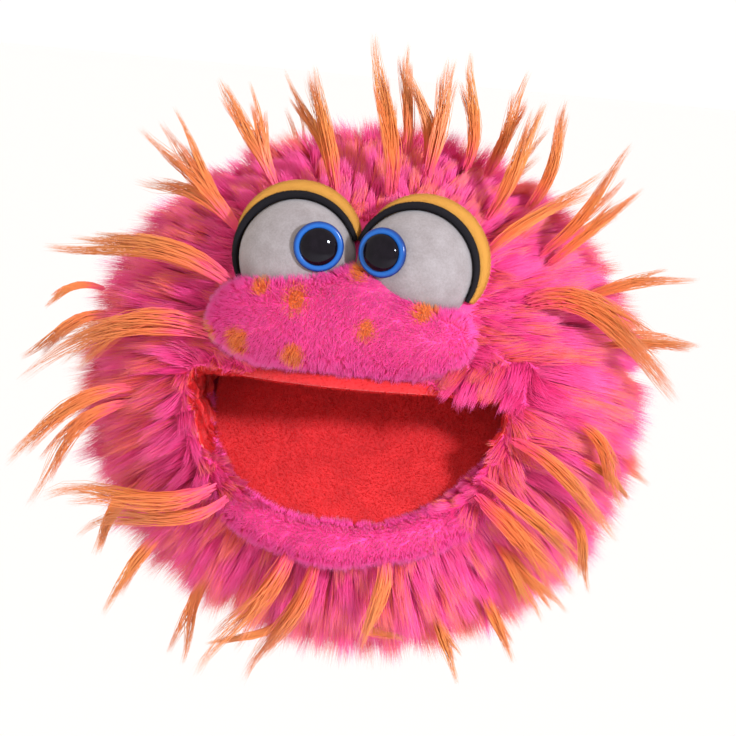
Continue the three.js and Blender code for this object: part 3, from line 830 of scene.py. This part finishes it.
for side, word in ((-1, "left"), (1, "right")):
    dome = make_dome(side, word)
    dome.data.materials.append(white_felt)
    smooth(dome.data)
    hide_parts(f"eyeball_{word}")

    lash = band_round(
        f"felt_lash_{word}", side,
        inner=lambda part: (21.3 - 0.1 * crest(part, 1)) * mm,
        outer=lambda part: (22.6 + 1.6 * crest(part, 0.8)) * mm,
        front=lambda part: -3.6 * mm,
        back=lambda part: 0.6 * mm,
    )
    short_nap(lash, black_felt, 0.4 * mm, 7e6, 65 + side, thickness=0.06 * mm)
    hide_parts(f"lash_band_{word}")

    begin, end = lid_span[side]
    lid = band_round(
        f"felt_lid_{word}", side,
        inner=lambda part: 20.9 * mm,
        outer=lambda part: (22.6 + 5.0 * crest((part - begin) / (end - begin), 0.7)) * mm,
        front=lambda part: (-0.6 - 1.6 * crest(part, 1)) * mm,
        back=lambda part: 7 * mm,
    )
    short_nap(lid, ochre_felt, 0.5 * mm, 5e6, 69 + side, thickness=0.06 * mm)
    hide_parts(f"eyelid_{word}")

    disc = turned_round(f"plastic_iris_{word}", [
        (0, 0.25 * mm), (6.6 * mm, 0.25 * mm), (7 * mm, 0.05 * mm), (8.1 * mm, 0),
        (8.7 * mm, 0.25 * mm), (8.95 * mm, 0.7 * mm), (9 * mm, 1.2 * mm), (8.9 * mm, 1.85 * mm),
        (8.6 * mm, 2 * mm), (0, 2 * mm),
    ])
    on_eye_line(disc, side)
    disc.materials.append(blue)
    disc = new_object(disc.name, disc)
    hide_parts(f"iris_{word}")

    dome_line = [(0, -pupil_height)]
    for i in range(1, 13):
        bow = math.radians(i * 7.5)
        dome_line.append((pupil_radius * math.sin(bow), -pupil_height * math.cos(bow) - 0.1 * mm))
    dome_line += [(pupil_radius, 0.2 * mm), (0, 0.2 * mm)]
    bead = turned_round(f"plastic_pupil_{word}", dome_line)
    on_eye_line(bead, side)
    bead.materials.append(black)
    bead = new_object(bead.name, bead)
    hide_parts(f"pupil_{word}")
    for piece in (dome, lash, lid, disc, bead):
        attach(piece, "upper_face")

# ---- muzzle ------------------------------------------------------------------------------------
# A stuffed pad of short plush across the face over the upper lip, cut low enough to cover the
# bottoms of the eyes. The plush is pink with a few woven orange spots.

# The pad's middle, half width, and thickness in front and behind are in millimetres, as are the
# heights of its top over the middle line at each station across.
muzzle_x, muzzle_y, muzzle_z = -2.5, -150, 20.5
muzzle_half_width, muzzle_front, muzzle_back = 46.5, 23, 22
muzzle_bottoms = ((-45, 30), (13.5, 15.2))
muzzle_stations = (-52, -44, -27, -9, -1, 6, 12, 18, 32, 42, 52)
muzzle_tops = (17.5, 19.5, 18, 19.5, 22.5, 22.5, 20.5, 16.5, 13.5, 16, 16)
muzzle_spots = (
    (-16.7, 30.9, 4.6), (-16.2, 12.8, 4.2), (-36, 15.5, 4.4), (9.7, 23.3, 4.0),
    (28.7, 30.0, 4.0), (4.5, 42.3, 3.4), (-50, 15, 5), (41.4, 8.5, 4.4), (-30, 33, 3),
)


def muzzle_pad():
    mesh = egg("plush_muzzle", Vector((1, 1, 1)), Vector(), 128, 96)
    for vert in mesh.vertices:
        u, v, w = vert.co
        x = muzzle_x + muzzle_half_width * u
        squarer = (max(1e-6, 1 - abs(u) ** 3.2) / max(1e-6, 1 - u * u)) ** 0.5
        w *= min(squarer, 2.2)
        outline = (muzzle_stations, muzzle_tops) if w > 0 else muzzle_bottoms
        tall = np.interp(x, *outline)
        fuller = abs(v) ** 0.8
        y = muzzle_y + (-muzzle_front if v < 0 else muzzle_back) * fuller
        vert.co = (x * mm, y * mm, (muzzle_z + w * tall) * mm)
    mesh.update()
    return new_object("plush_muzzle", mesh)


def plush_paint():
    material, tree, shader = paint("pink plush", 0.7, Sheen_Weight=0.2, Sheen_Roughness=0.4)
    split = strand_map(tree)
    # Both ramps run from root to tip; the slightly darker roots are painted shade among the plush
    # fibres.
    pink = ramp(tree, split[1], (
        (0.0, (0.90, 0.035, 0.26)), (0.5, (0.95, 0.050, 0.33)), (1.0, (0.97, 0.10, 0.42)),
    ))
    orange = ramp(tree, split[1], (
        (0.0, (0.86, 0.12, 0.03)), (0.5, (0.92, 0.20, 0.03)), (1.0, (0.92, 0.27, 0.05)),
    ))
    spotted = number(tree, "GREATER_THAN", split[0], 0.47)
    tint(tree, shader, mixed(tree, spotted, pink, orange))
    return material


plush = plush_paint()
muzzle = muzzle_pad()
places, outward = vertex_table(muzzle.data)
x, z = places[:, 0], places[:, 2]
spotted = np.zeros(len(x))
for spot_x, spot_z, radius in muzzle_spots:
    away = np.hypot(x - spot_x * mm, z - spot_z * mm) / (radius * mm)
    spotted = np.maximum(spotted, 1 - ease(0.6, 1.3, away))
swirl = np.column_stack((
    np.sin(x / 0.011 + z / 0.017 + 1), 0 * x, np.cos(x / 0.013 - z / 0.009),
))
way = outward * 0.6 + swirl * 0.28 + np.array((-0.12, -0.1, -0.25))
carry(muzzle.data, "way", unit(way))
carry(muzzle.data, "spot", spotted * (places[:, 1] < -0.145))
carry(muzzle.data, "grow", (places[:, 1] < -0.138).astype(float))
short_nap(muzzle, plush, 3.8 * mm, 5.0e6, 75, Clumping=0.35, Unruly=0.34)
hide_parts("muzzle")
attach(muzzle, "upper_face")

# ---- mouth -------------------------------------------------------------------------------------
# Red plush on the palate and on the mouth's floor, glued over two bendable boards that meet at
# the fold. The lining wraps the boards' front edges, and a roll of plush closes the fold.
red_nap = fuzz_paint("red plush", (0.60, 0.004, 0.007), (0.80, 0.010, 0.013), 0.75)
red_cloth = felt_paint("red plush ground", (0.72, 0.016, 0.020), (0.50, 0.007, 0.010))


def set_at_fold(mesh, turn):
    for vert in mesh.vertices:
        vert.co.rotate(Quaternion((1, 0, 0), turn))
        vert.co += fold
    mesh.update()


def lining(name, face, wrap):
    """A D-shaped plate of plush. face is 1 where it looks up and -1 where it looks down.
    wrap is how far the roll along its front edge stands behind the visible face."""
    outline = [(x * mm, -3 * mm) for x in (0, -20, -40, -50, -54)]
    outline += [(-mouth_half_width, -5 * mm), (-mouth_half_width, -8 * mm)]
    for i in range(49):
        s = math.pi * i / 48
        outline.append((
            -mouth_half_width * math.cos(s), -mouth_straight - mouth_half_width * math.sin(s)
        ))
    outline += [(mouth_half_width, -8 * mm), (mouth_half_width, -5 * mm)]
    outline += [(x * mm, -3 * mm) for x in (54, 50, 40, 20)]
    outline = np.array(outline)
    middle = np.array((0, -24 * mm))
    work = bmesh.new()
    rings = []
    # Each ring is the outline at a scale, and stands a distance behind the face.
    levels = [(1.0, wrap), (1.0, 1.2 * mm), (0.985, 0.3 * mm)]
    levels += [(k, 0.0) for k in (0.95, 0.88, 0.78, 0.66, 0.52, 0.36, 0.2, 0.08)]
    for scale, behind in levels:
        ring = []
        for x, y in middle + (outline - middle) * scale:
            dish = -0.9 * mm * math.sin(min(1, (1 - scale) * 2.2) * math.pi / 2)
            wave = 0.25 * mm * math.sin(x / (9 * mm) + y / (13 * mm)) * min(1, (1 - scale) * 4)
            ring.append(work.verts.new((x, y, face * (dish + wave - behind - 0.4 * mm))))
        rings.append(ring)
    join_rings(work, rings)
    tip = work.faces.new(rings[-1])
    back = work.faces.new(rings[0])
    bmesh.ops.poke(work, faces=[tip, back])
    mesh = mesh_of(work, name)
    set_at_fold(mesh, mouth_angle if face > 0 else 0)
    made = new_object(name, mesh)
    finer = made.modifiers.new("finer", "SUBSURF")
    finer.levels = finer.render_levels = 1
    return settle(made)


def fold_roll():
    """The narrow roll of plush that is sewn along the fold and closes the back of the mouth."""
    steps, around, half_length, radius = 60, 16, 57, 3.9
    work = bmesh.new()
    rings = []
    for i in range(steps + 1):
        x = -half_length + 2 * half_length * i / steps
        stout = radius * math.sqrt(1 - (abs(x) / 57.2) ** 14) + 0.12 * math.sin(x / 4)
        rings.append([
            work.verts.new(fold + Vector((
                x, stout * math.cos(2 * math.pi * j / around),
                stout * math.sin(2 * math.pi * j / around),
            )) * mm)
            for j in range(around)
        ])
    join_rings(work, rings)
    bmesh.ops.poke(work, faces=[work.faces.new(rings[0]), work.faces.new(rings[-1])])
    return new_object("fold_plush", mesh_of(work, "fold_plush"))


palate_lining = lining("palate_plush", -1, 7.4 * mm)
floor_lining = lining("mouth_floor_plush", 1, 2.0 * mm)
for piece, node, board, body, density in (
    (palate_lining, "palate_lining", "palate_board", "upper_face", 1.5e6),
    (floor_lining, "mouth_floor_lining", "jaw_board", "lower_jaw", 3.0e6),
):
    nap = new_object(piece.name + "_nap", piece.data.copy())
    _, outward = vertex_table(nap.data)
    carry(nap.data, "way", unit(outward + np.array((0.35, -0.35, 0.15))))
    short_nap(nap, red_nap, 1.1 * mm, density, 81, thickness=0.1 * mm, With_backing=False)
    piece.data.materials.append(red_cloth)
    smooth(piece.data)
    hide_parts(node)
    for made in (piece, nap):
        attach(made, body)

roll = short_nap(fold_roll(), red_nap, 1 * mm, 1.5e6, 83, thickness=0.1 * mm)
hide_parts("fold_tape")
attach(roll, "hand_sleeve")

# ---- lower lip ---------------------------------------------------------------------------------
# A soft roll of short pink plush stuffed with a little fibre, sewn round the front edge of the
# lower plate, between the red floor and the long fur of the chin.
def lip_roll():
    steps, around, reach, below = 120, 20, 60.6 * mm, -3.2 * mm
    work = bmesh.new()
    rings = []
    for i in range(steps + 1):
        turn = math.radians(-4 + 188 * i / steps)
        x = -reach * math.cos(turn)
        y = -mouth_straight - reach * math.sin(turn)
        out = Vector((-math.cos(turn), -math.sin(turn), 0))
        end = min(i, steps - i) / 6
        stout = (5.9 + 0.5 * math.sin(5.3 * turn) + 0.3 * math.sin(13 * turn)) * mm
        stout += 1.6 * mm * float(ease(15 * mm, 50 * mm, x))
        stout *= min(1, 0.25 + 0.75 * math.sqrt(min(1, end)))
        ring = []
        for j in range(around):
            s = 2 * math.pi * j / around
            place = Vector((x, y, below)) + out * stout * math.cos(s)
            ring.append(work.verts.new(place + Vector((0, 0, stout * math.sin(s)))))
        rings.append(ring)
    join_rings(work, rings)
    bmesh.ops.poke(work, faces=[work.faces.new(rings[0]), work.faces.new(rings[-1])])
    mesh = mesh_of(work, "plush_lower_lip")
    set_at_fold(mesh, mouth_angle)
    return new_object("plush_lower_lip", mesh)


lip = lip_roll()
places, outward = vertex_table(lip.data)
carry(lip.data, "way", unit(outward + np.array((0, -0.2, -0.35))))
short_nap(lip, plush, 3.6 * mm, 4.6e6, 85, Clumping=0.35, Unruly=0.34)
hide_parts("lower_lip_roll")
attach(lip, "lower_jaw")

# ---- orange locks ------------------------------------------------------------------------------
# Hanks of long coarse hair, tufted through the backing and knotted inside. Each hank lies on the
# pink pile, sweeps outward and divides into a few pointed wisps.
def lock_tree():
    tree, given = new_tree("hair locks", (
        ("Lines", "Geometry"),
        ("Hairs in each", "Int"),
        ("Thickness", "Float"),
        ("Steps along", "Int"),
        ("Seed", "Int"),
        ("Material", "Material"),
    ))
    lines, seed = given["Lines"], given["Seed"]
    count = add_node(
        tree, "GeometryNodeAttributeDomainSize", {0: lines}, component="CURVE"
    ).outputs["Spline Count"]
    points = add_node(
        tree, "GeometryNodePoints", {0: number(tree, "MULTIPLY", count, given["Hairs in each"])}
    ).outputs[0]
    index = add_node(tree, "GeometryNodeInputIndex").outputs[0]
    lock = number(tree, "FLOOR", number(tree, "DIVIDE", index, given["Hairs in each"]))
    wisp = number(tree, "FLOOR", random_value(tree, "FLOAT", 0.0, 3.99, seed))
    wisp_number = number(tree, "MULTIPLY_ADD", lock, 4.0, wisp)
    points = keep_as(tree, points, "lock", lock)
    start = random_value(tree, "FLOAT", 0.0, 0.16, number(tree, "ADD", seed, 4.0))
    points = keep_as(tree, points, "start", start)
    wisp_length = random_value(tree, "FLOAT", 0.72, 1.0, 3, wisp_number)
    part = number(tree, "MULTIPLY", wisp_length, random_value(tree, "FLOAT", 0.8, 1.0, seed))
    points = keep_as(tree, points, "part", part)
    home = random_value(tree, "FLOAT_VECTOR", (-1.0, -1.0, 0), (1.0, 1.0, 0), seed)
    goal = random_value(tree, "FLOAT_VECTOR", (-1.0, -1.0, 0), (1.0, 1.0, 0), 5, wisp_number)
    goal = vector(tree, "ADD", goal, vector(tree, "SCALE", home, 0.16))
    points = keep_as(tree, points, "home", home, "FLOAT_VECTOR")
    points = keep_as(tree, points, "goal", goal, "FLOAT_VECTOR")
    sway = random_value(
        tree, "FLOAT_VECTOR", (-0.3, -0.3, 0), (0.3, 0.3, 6.28), number(tree, "ADD", seed, 5.0)
    )
    points = keep_as(tree, points, "sway", sway, "FLOAT_VECTOR")
    shade = random_value(tree, "FLOAT", 0.0, 0.6, seed)
    shade = number(tree, "ADD", shade, random_value(tree, "FLOAT", 0.0, 0.36, 9, lock))
    points = keep_as(tree, points, "shade", shade)

    thickness = given["Thickness"]
    strand = one_strand(tree, given["Steps along"])
    place = add_node(tree, "GeometryNodeInputPosition").outputs[0]
    strand = keep_as(
        tree, strand, "across", vector(tree, "SCALE", place, thickness), "FLOAT_VECTOR"
    )
    placed = add_node(tree, "GeometryNodeInstanceOnPoints", {0: points, 2: strand}).outputs[0]
    hairs = add_node(tree, "GeometryNodeRealizeInstances", {0: placed}).outputs[0]
    along = spread(tree, "along")
    radius = add_node(tree, "GeometryNodeInputRadius").outputs[0]
    start = spread(tree, "start")
    reach = number(tree, "SUBTRACT", spread(tree, "part"), start)
    reach = number(tree, "MULTIPLY_ADD", along, reach, start)
    line = add_node(
        tree,
        "GeometryNodeSampleCurve",
        {0: lines, 1: radius, 2: reach, 4: spread(tree, "lock")},
        mode="FACTOR", data_type="FLOAT", use_all_curves=False,
    ).outputs
    beside = vector(tree, "CROSS_PRODUCT", line[2], line[3])
    spreading = add_node(
        tree, "ShaderNodeMapRange", {0: along, 1: 0.2, 2: 1.0}, interpolation_type="SMOOTHSTEP"
    ).outputs[0]
    home, goal = spread(tree, "home", "FLOAT_VECTOR"), spread(tree, "goal", "FLOAT_VECTOR")
    drift = vector(tree, "SCALE", vector(tree, "SUBTRACT", goal, home), spreading)
    sway = spread(tree, "sway", "FLOAT_VECTOR")
    phase = add_node(tree, "ShaderNodeSeparateXYZ", {0: sway}).outputs[2]
    wave = number(tree, "SINE", number(tree, "MULTIPLY_ADD", along, 6.5, phase))
    drift = vector(tree, "ADD", drift, vector(tree, "SCALE", sway, wave))
    spot = vector(tree, "SCALE", vector(tree, "ADD", home, drift), line[0])
    spot = vector(tree, "ADD", spot, spread(tree, "across", "FLOAT_VECTOR"))
    spot = add_node(tree, "ShaderNodeSeparateXYZ", {0: spot}).outputs
    there = vector(tree, "ADD", line[1], vector(tree, "SCALE", line[3], spot[0]))
    there = vector(tree, "ADD", there, vector(tree, "SCALE", beside, spot[1]))
    hairs = add_node(tree, "GeometryNodeSetPosition", {0: hairs, 2: there}).outputs[0]
    return finish_tree(tree, strand_uv(tree, hairs), given["Material"])


def lock_paint():
    material, tree, shader = paint("orange hair", 0.5, Sheen_Weight=0.1)
    split = strand_map(tree)
    orange = ramp(tree, split[1], (
        (0.0, (0.86, 0.05, 0.20)), (0.08, (0.86, 0.08, 0.12)), (0.22, (0.82, 0.17, 0.04)),
        (0.75, (0.74, 0.18, 0.045)), (1.0, (0.66, 0.19, 0.09)),
    ))
    ochre = ramp(tree, split[1], (
        (0.0, (0.80, 0.06, 0.16)), (0.16, (0.74, 0.17, 0.05)),
        (0.5, (0.66, 0.25, 0.045)), (1.0, (0.64, 0.26, 0.10)),
    ))
    tint(tree, shader, mixed(tree, split[0], orange, ochre))
    return material


def on_pile(clock, out, facing, rise):
    """A place on the head at a clock angle and distance from the middle of the face, at a
    height over the backing, with the outward direction there."""
    half = ball_half + Vector((rise, rise, rise))
    x, z = out * math.cos(clock), out * math.sin(clock)
    y = facing * half.y * math.sqrt(max(0.02, 1 - (x / half.x) ** 2 - (z / half.z) ** 2))
    direction = Vector((x / half.x ** 2, y / half.y ** 2, z / half.z ** 2)).normalized()
    return fold + Vector((x, y, z)), direction


def lock_line(curve, clock, out, tip_clock, reach, size, tip_ahead, sag, facing=-1):
    """The middle line of one lock, from its root to its tip."""
    clock, tip_clock = math.radians(clock), math.radians(tip_clock)
    root, outward = on_pile(clock, (out - 4) * mm, facing, 4 * mm)
    radial = Vector((math.cos(clock), 0, math.sin(clock)))
    tip = fold + Vector((
        reach * math.cos(tip_clock), facing * tip_ahead, reach * math.sin(tip_clock)
    )) * mm
    length = (tip - root).length
    ending = Vector((math.cos(tip_clock), 0, math.sin(tip_clock) - sag)).normalized()
    first = root + outward * 9 * mm + radial * length * 0.3
    second = tip - ending * length * 0.34
    # Away from its root the lock stays this many millimetres over the backing, on the pile.
    root_rise, pile_rise = 4, 16 if facing > 0 else 10
    spline = curve.splines.new("POLY")
    steps = 18
    spline.points.add(steps)
    for i in range(steps + 1):
        t = i / steps
        a, b, c, d = (1 - t) ** 3, 3 * t * (1 - t) ** 2, 3 * t * t * (1 - t), t ** 3
        spot = root * a + first * b + second * c + tip * d - fold
        rise = (root_rise + pile_rise * min(1, t / 0.25)) * mm
        under = Vector([spot[k] / (ball_half[k] + rise) for k in range(3)]).length
        spline.points[i].co = (*(fold + spot / min(1, under)), 1)
        spline.points[i].radius = size * (1.1 + 3.4 * t ** 0.8) * mm


hair = lock_paint()
hair_locks = lock_tree()


def make_locks(name, rows, seed, **more):
    curve = bpy.data.curves.new(name, "CURVE")
    curve.dimensions = "3D"
    for row in rows:
        lock_line(curve, *row, **more)
    made = new_object(name, curve)
    add_growth(made, hair_locks, dict(
        Hairs_in_each=96, Thickness=0.16 * mm, Steps_along=7, Seed=seed, Material=hair,
    ))
    mesh = plain_mesh(made)
    bpy.data.objects.remove(made)
    clean_up(mesh, hair, "along turn lock part start sway home goal shade across")
    made = new_object(name, mesh)
    return made


# Each row: clock angle and distance of the root, clock angle and reach of the tip, size, how far
# the tip stands in front of the middle of the head (or behind it, for the back locks), and how
# much the tip sags. Clock angle 90 is straight up, and distances are in millimetres.
forehead_locks = (
    (117, 80, 121, 123, 1.0, 18, 0.0), (117, 80, 114, 116, 0.7, 22, 0.0),
    (99, 71, 103, 125, 1.0, 20, 0.0), (99, 71, 109, 121, 0.6, 14, 0.0),
    (131, 72, 134, 126, 1.0, 22, 0.0), (131, 72, 130, 120, 0.7, 26, 0.0),
    (131, 72, 143, 117, 1.0, 16, 0.2), (142, 60, 159, 133, 1.0, 24, 0.1),
    (144, 57, 162, 130, 0.9, 20, 0.2), (164, 55, 184, 122, 1.5, 26, 0.8),
    (161, 57, 190, 126, 1.4, 20, 0.9), (171, 96, 183, 125, 0.9, 12, 0.5),
    (166, 104, 174, 124, 0.6, 8, 0.3), (83, 73, 93, 128, 1.2, 20, 0.0),
    (84, 73, 91, 122, 0.8, 26, 0.0), (84, 86, 88, 126, 0.8, 14, 0.0),
    (78, 85, 86, 121, 0.8, 18, 0.0), (76, 82, 79, 125, 0.9, 14, 0.0),
    (69, 88, 78, 130, 0.9, 12, 0.0), (64, 90, 66, 129, 0.9, 10, 0.0),
    (56, 80, 63, 131, 1.1, 18, 0.0), (51, 88, 59, 134, 0.9, 10, 0.0),
    (49, 71, 44, 121, 1.0, 24, 0.1), (40, 84, 45, 134, 0.8, 12, -0.2),
    (37, 84, 41, 134, 0.7, 16, 0.0), (26, 86, 23, 133, 0.8, 14, 0.2),
    (31, 74, 6, 124, 1.3, 24, 0.5), (29, 74, -2, 128, 1.3, 18, 0.7),
    (14, 88, 10, 135, 0.7, 12, 0.3),
)
chin_locks = (
    (222, 62, 207, 125, 1.5, 30, 0.5), (228, 62, 213, 120, 1.0, 22, 0.6),
    (210, 88, 219, 125, 1.0, 14, 0.6), (222, 88, 227, 133, 0.9, 10, 0.5),
    (236, 88, 241, 127, 0.9, 10, 0.3), (256, 62, 248, 121, 1.3, 30, 0.2),
    (265, 64, 254, 125, 1.2, 24, 0.2), (257, 88, 242, 119, 0.6, 10, 0.0),
    (275, 84, 286, 96, 0.5, 20, 0.0), (288, 64, 276, 100, 1.1, 34, 0.3),
    (318, 78, 311, 112, 0.7, 20, 0.3), (318, 80, 316, 113, 0.7, 16, 0.3),
    (306, 86, 303, 122, 0.9, 12, 0.3), (293, 86, 294, 116, 0.8, 12, 0.2),
    (326, 64, 319, 117, 1.3, 26, 0.6), (332, 62, 326, 112, 0.8, 30, 0.5),
)
cheek_locks = {
    "left": ((186, 82, 200, 135, 1.1, 18, 0.8), (190, 84, 205, 134, 1.0, 14, 0.8)),
    "right": (
        (348, 66, 333, 112, 1.1, 26, 0.5), (356, 82, 341, 108, 0.9, 20, 0.5),
        (347, 86, 341, 112, 0.6, 10, 0.5), (335, 86, 322, 116, 0.7, 12, 0.5),
    ),
}
back_locks = (
    (40, 72, 40, 112, 1.0, 72, 0.1), (140, 72, 140, 112, 1.0, 72, 0.1),
    (95, 66, 96, 112, 1.0, 64, 0.1), (65, 60, 62, 112, 0.9, 62, 0.2),
    (120, 62, 118, 110, 0.9, 66, 0.2), (15, 74, 8, 112, 1.0, 66, 0.4),
    (165, 74, 172, 112, 1.0, 66, 0.4), (220, 70, 220, 108, 1.0, 64, 0.5),
    (320, 70, 320, 108, 1.0, 64, 0.5), (250, 64, 252, 104, 0.9, 58, 0.3),
    (285, 66, 288, 104, 0.9, 58, 0.3), (195, 76, 200, 112, 0.9, 60, 0.5),
    (345, 76, 340, 112, 0.9, 60, 0.5),
)


def cad_locks(prefix, count):
    return [f"{prefix}_lock_{i:02d}" for i in range(1, count + 1)]


locks = make_locks("forehead_locks", forehead_locks, 91)
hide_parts(*cad_locks("upper", 10))
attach(locks, "upper_face")
locks = make_locks("chin_locks", chin_locks, 92)
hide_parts(*cad_locks("chin", 6))
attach(locks, "lower_jaw")
locks = make_locks("back_locks", back_locks, 93, facing=1)
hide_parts(*cad_locks("back", 4))
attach(locks, "hand_sleeve")
for i, (word, rows) in enumerate(cheek_locks.items()):
    locks = make_locks(f"cheek_locks_{word}", rows, 94 + i)
    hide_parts(f"cheek_lock_{i + 1:02d}")
    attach(locks, "hand_sleeve")

# ---- filling -----------------------------------------------------------------------------------
# Loose polyester fibre packed between the fur backing and the mouth boards, above and below.
def filling_paint():
    material, tree, shader = paint("fibre filling", 0.95, Sheen_Weight=0.3)
    wool = noise(tree, 220.0, 8.0, 0.7)
    tint(tree, shader, ramp(tree, wool, ((0.3, (0.62, 0.59, 0.54)), (0.7, (0.86, 0.84, 0.80)))))
    raise_by(tree, shader, wool, 0.5, 0.001)
    return material


def packed_fibre(name, node, body):
    """The filling's room, rounded off and lumpy, and a little smaller than the room."""
    mesh = nodes[node].data.copy()
    mesh.name = name
    work = bmesh.new()
    work.from_mesh(mesh)
    bmesh.ops.remove_doubles(work, verts=work.verts, dist=1e-6)
    work.to_mesh(mesh)
    work.free()
    made = new_object(name, mesh)
    even = made.modifiers.new("even", "REMESH")
    even.mode, even.voxel_size = "VOXEL", 3 * mm
    soften = made.modifiers.new("soften", "SMOOTH")
    soften.factor, soften.iterations = 0.5, 5
    lumps = bpy.data.textures.new("lumps " + node, "CLOUDS")
    lumps.noise_scale = 9 * mm
    uneven = made.modifiers.new("lumps", "DISPLACE")
    uneven.texture, uneven.texture_coords = lumps, "LOCAL"
    uneven.strength, uneven.mid_level = 1.6 * mm, 1.8
    settle(made)
    made.data.materials.clear()
    made.data.materials.append(fluff)
    smooth(made.data)
    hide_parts(node)
    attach(made, body)


fluff = filling_paint()
packed_fibre("head_fibre", "head_filling", "upper_face")
packed_fibre("chin_fibre", "chin_filling", "lower_jaw")

# ---- cuff --------------------------------------------------------------------------------------
# A rib-knitted cuff sewn into the hole in the back of the head. Its hem is turned over a woven
# elastic, so the elastic is hidden.
def cuff_tree():
    tree, given = new_tree("ribbed cuff", (
        ("Start", "Geometry"),
        ("Half width", "Float"),
        ("Half height", "Float"),
        ("Length", "Float"),
        ("Wall", "Float"),
        ("Ribs", "Int"),
        ("Rib height", "Float"),
        ("Material", "Material"),
    ))
    around = number(tree, "MULTIPLY_ADD", given["Ribs"], 6.0, 1.0)
    sheet = add_node(tree, "GeometryNodeMeshGrid", {0: 1.0, 1: 1.0, 2: around, 3: 49}).outputs[0]
    place = add_node(tree, "GeometryNodeInputPosition").outputs[0]
    split = add_node(tree, "ShaderNodeSeparateXYZ", {0: place}).outputs
    turn = number(tree, "MULTIPLY", split[0], 2 * math.pi)
    # The other way runs out along the outside, round the hem, and back along the inside.
    run = number(tree, "MULTIPLY", number(tree, "ADD", split[1], 0.5), 2 * math.pi)
    outer = number(tree, "MULTIPLY_ADD", number(tree, "SINE", run), 0.5, 0.5)
    outer = add_node(
        tree, "ShaderNodeMapRange", {0: outer, 1: 0.25, 2: 0.75}, interpolation_type="SMOOTHSTEP"
    ).outputs[0]
    depth = number(tree, "MULTIPLY_ADD", number(tree, "COSINE", run), 0.5, -0.5)
    depth = number(tree, "MULTIPLY", depth, given["Length"])
    rib = number(tree, "SINE", number(tree, "MULTIPLY", turn, given["Ribs"]))
    rib = number(tree, "MULTIPLY", number(tree, "ABSOLUTE", rib), given["Rib height"])
    grow_out = number(tree, "MULTIPLY", outer, number(tree, "ADD", given["Wall"], rib))

    def across(half, wave):
        inside = number(tree, "SUBTRACT", given[half], given["Wall"])
        return number(tree, "MULTIPLY", number(tree, "ADD", inside, grow_out), wave)

    there = add_node(tree, "ShaderNodeCombineXYZ", {
        0: across("Half width", number(tree, "COSINE", turn)),
        1: depth,
        2: across("Half height", number(tree, "SINE", turn)),
    }).outputs[0]
    tube = add_node(tree, "GeometryNodeSetPosition", {0: sheet, 2: there}).outputs[0]
    closed = add_node(tree, "GeometryNodeMergeByDistance", {0: tube, 2: 0.00001}).outputs[0]
    return finish_tree(tree, closed, given["Material"])


knit, tree, shader = paint("rib knit", 0.85, Sheen_Weight=0.3)
rows = add_node(
    tree, "ShaderNodeTexWave", {0: own_place(tree), 1: 260.0, 2: 1.5}, bands_direction="Y"
).outputs[1]
yarn = noise(tree, 900.0, 4.0)
stitch = number(tree, "MULTIPLY_ADD", rows, 0.6, number(tree, "MULTIPLY", yarn, 0.4))
tint(tree, shader, ramp(tree, stitch, ((0.15, (0.36, 0.012, 0.13)), (0.7, (0.80, 0.07, 0.34)))))
raise_by(tree, shader, stitch, 0.6, 0.0005)

cuff = new_object("knitted_cuff", mesh_from("knitted_cuff", [], []))
grow(
    cuff, cuff_tree(), knit, Half_width=41.4 * mm, Half_height=32.4 * mm, Length=37 * mm,
    Wall=3.0 * mm, Ribs=56, Rib_height=0.9 * mm,
)
cuff_work = bmesh.new()
cuff_work.from_mesh(cuff.data)
bmesh.ops.recalc_face_normals(cuff_work, faces=cuff_work.faces)
cuff_work.to_mesh(cuff.data)
cuff_work.free()
smooth(cuff.data)
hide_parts("wrist_cuff")
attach(cuff, "hand_sleeve")

# ---- inside of the head ------------------------------------------------------------------------
# The pieces that carry the hand and the eyes: the pockets and sleeve of thin knit, the bendable
# boards, the elastic, and the plastic stems and washers.
def woven_paint(name, dark, light, scale):
    material, tree, shader = paint(name, 0.85, Sheen_Weight=0.15)
    plugs = {0: own_place(tree), 1: scale}
    across, along = (
        add_node(tree, "ShaderNodeTexWave", plugs, bands_direction=way).outputs[1] for way in "XY"
    )
    yarn = number(tree, "MULTIPLY", number(tree, "ADD", across, along), 0.5)
    tint(tree, shader, ramp(tree, yarn, ((0.2, dark), (0.8, light))))
    raise_by(tree, shader, yarn, 0.3, 0.0004)
    return material


def speckled_paint(name, dark, light, scale, roughness):
    material, tree, shader = paint(name, roughness)
    grain = noise(tree, scale, 5.0)
    tint(tree, shader, ramp(tree, grain, ((0.35, dark), (0.65, light))))
    raise_by(tree, shader, grain, 0.15, 0.0003)
    return material


pocket_cloth = woven_paint("pocket knit", (0.22, 0.008, 0.09), (0.52, 0.025, 0.22), 420.0)
elastic_weave = woven_paint("elastic weave", (0.60, 0.58, 0.54), (0.84, 0.82, 0.78), 520.0)
board_fibre = speckled_paint(
    "pressed board", (0.05, 0.05, 0.055), (0.10, 0.10, 0.105), 500.0, 0.7
)
stem_plastic = speckled_paint(
    "moulded plastic", (0.66, 0.66, 0.64), (0.78, 0.78, 0.76), 300.0, 0.4
)
for material, names in (
    (pocket_cloth, ("finger_pocket", "thumb_pocket", "palm_sleeve")),
    (elastic_weave, ("cuff_elastic",)),
    (board_fibre, ("palate_board", "jaw_board")),
    (stem_plastic, (
        "eye_stem_left", "eye_stem_right", "eye_washer_left", "eye_washer_right",
    )),
):
    for name in names:
        nodes[name].data.materials.clear()
        nodes[name].data.materials.append(material)
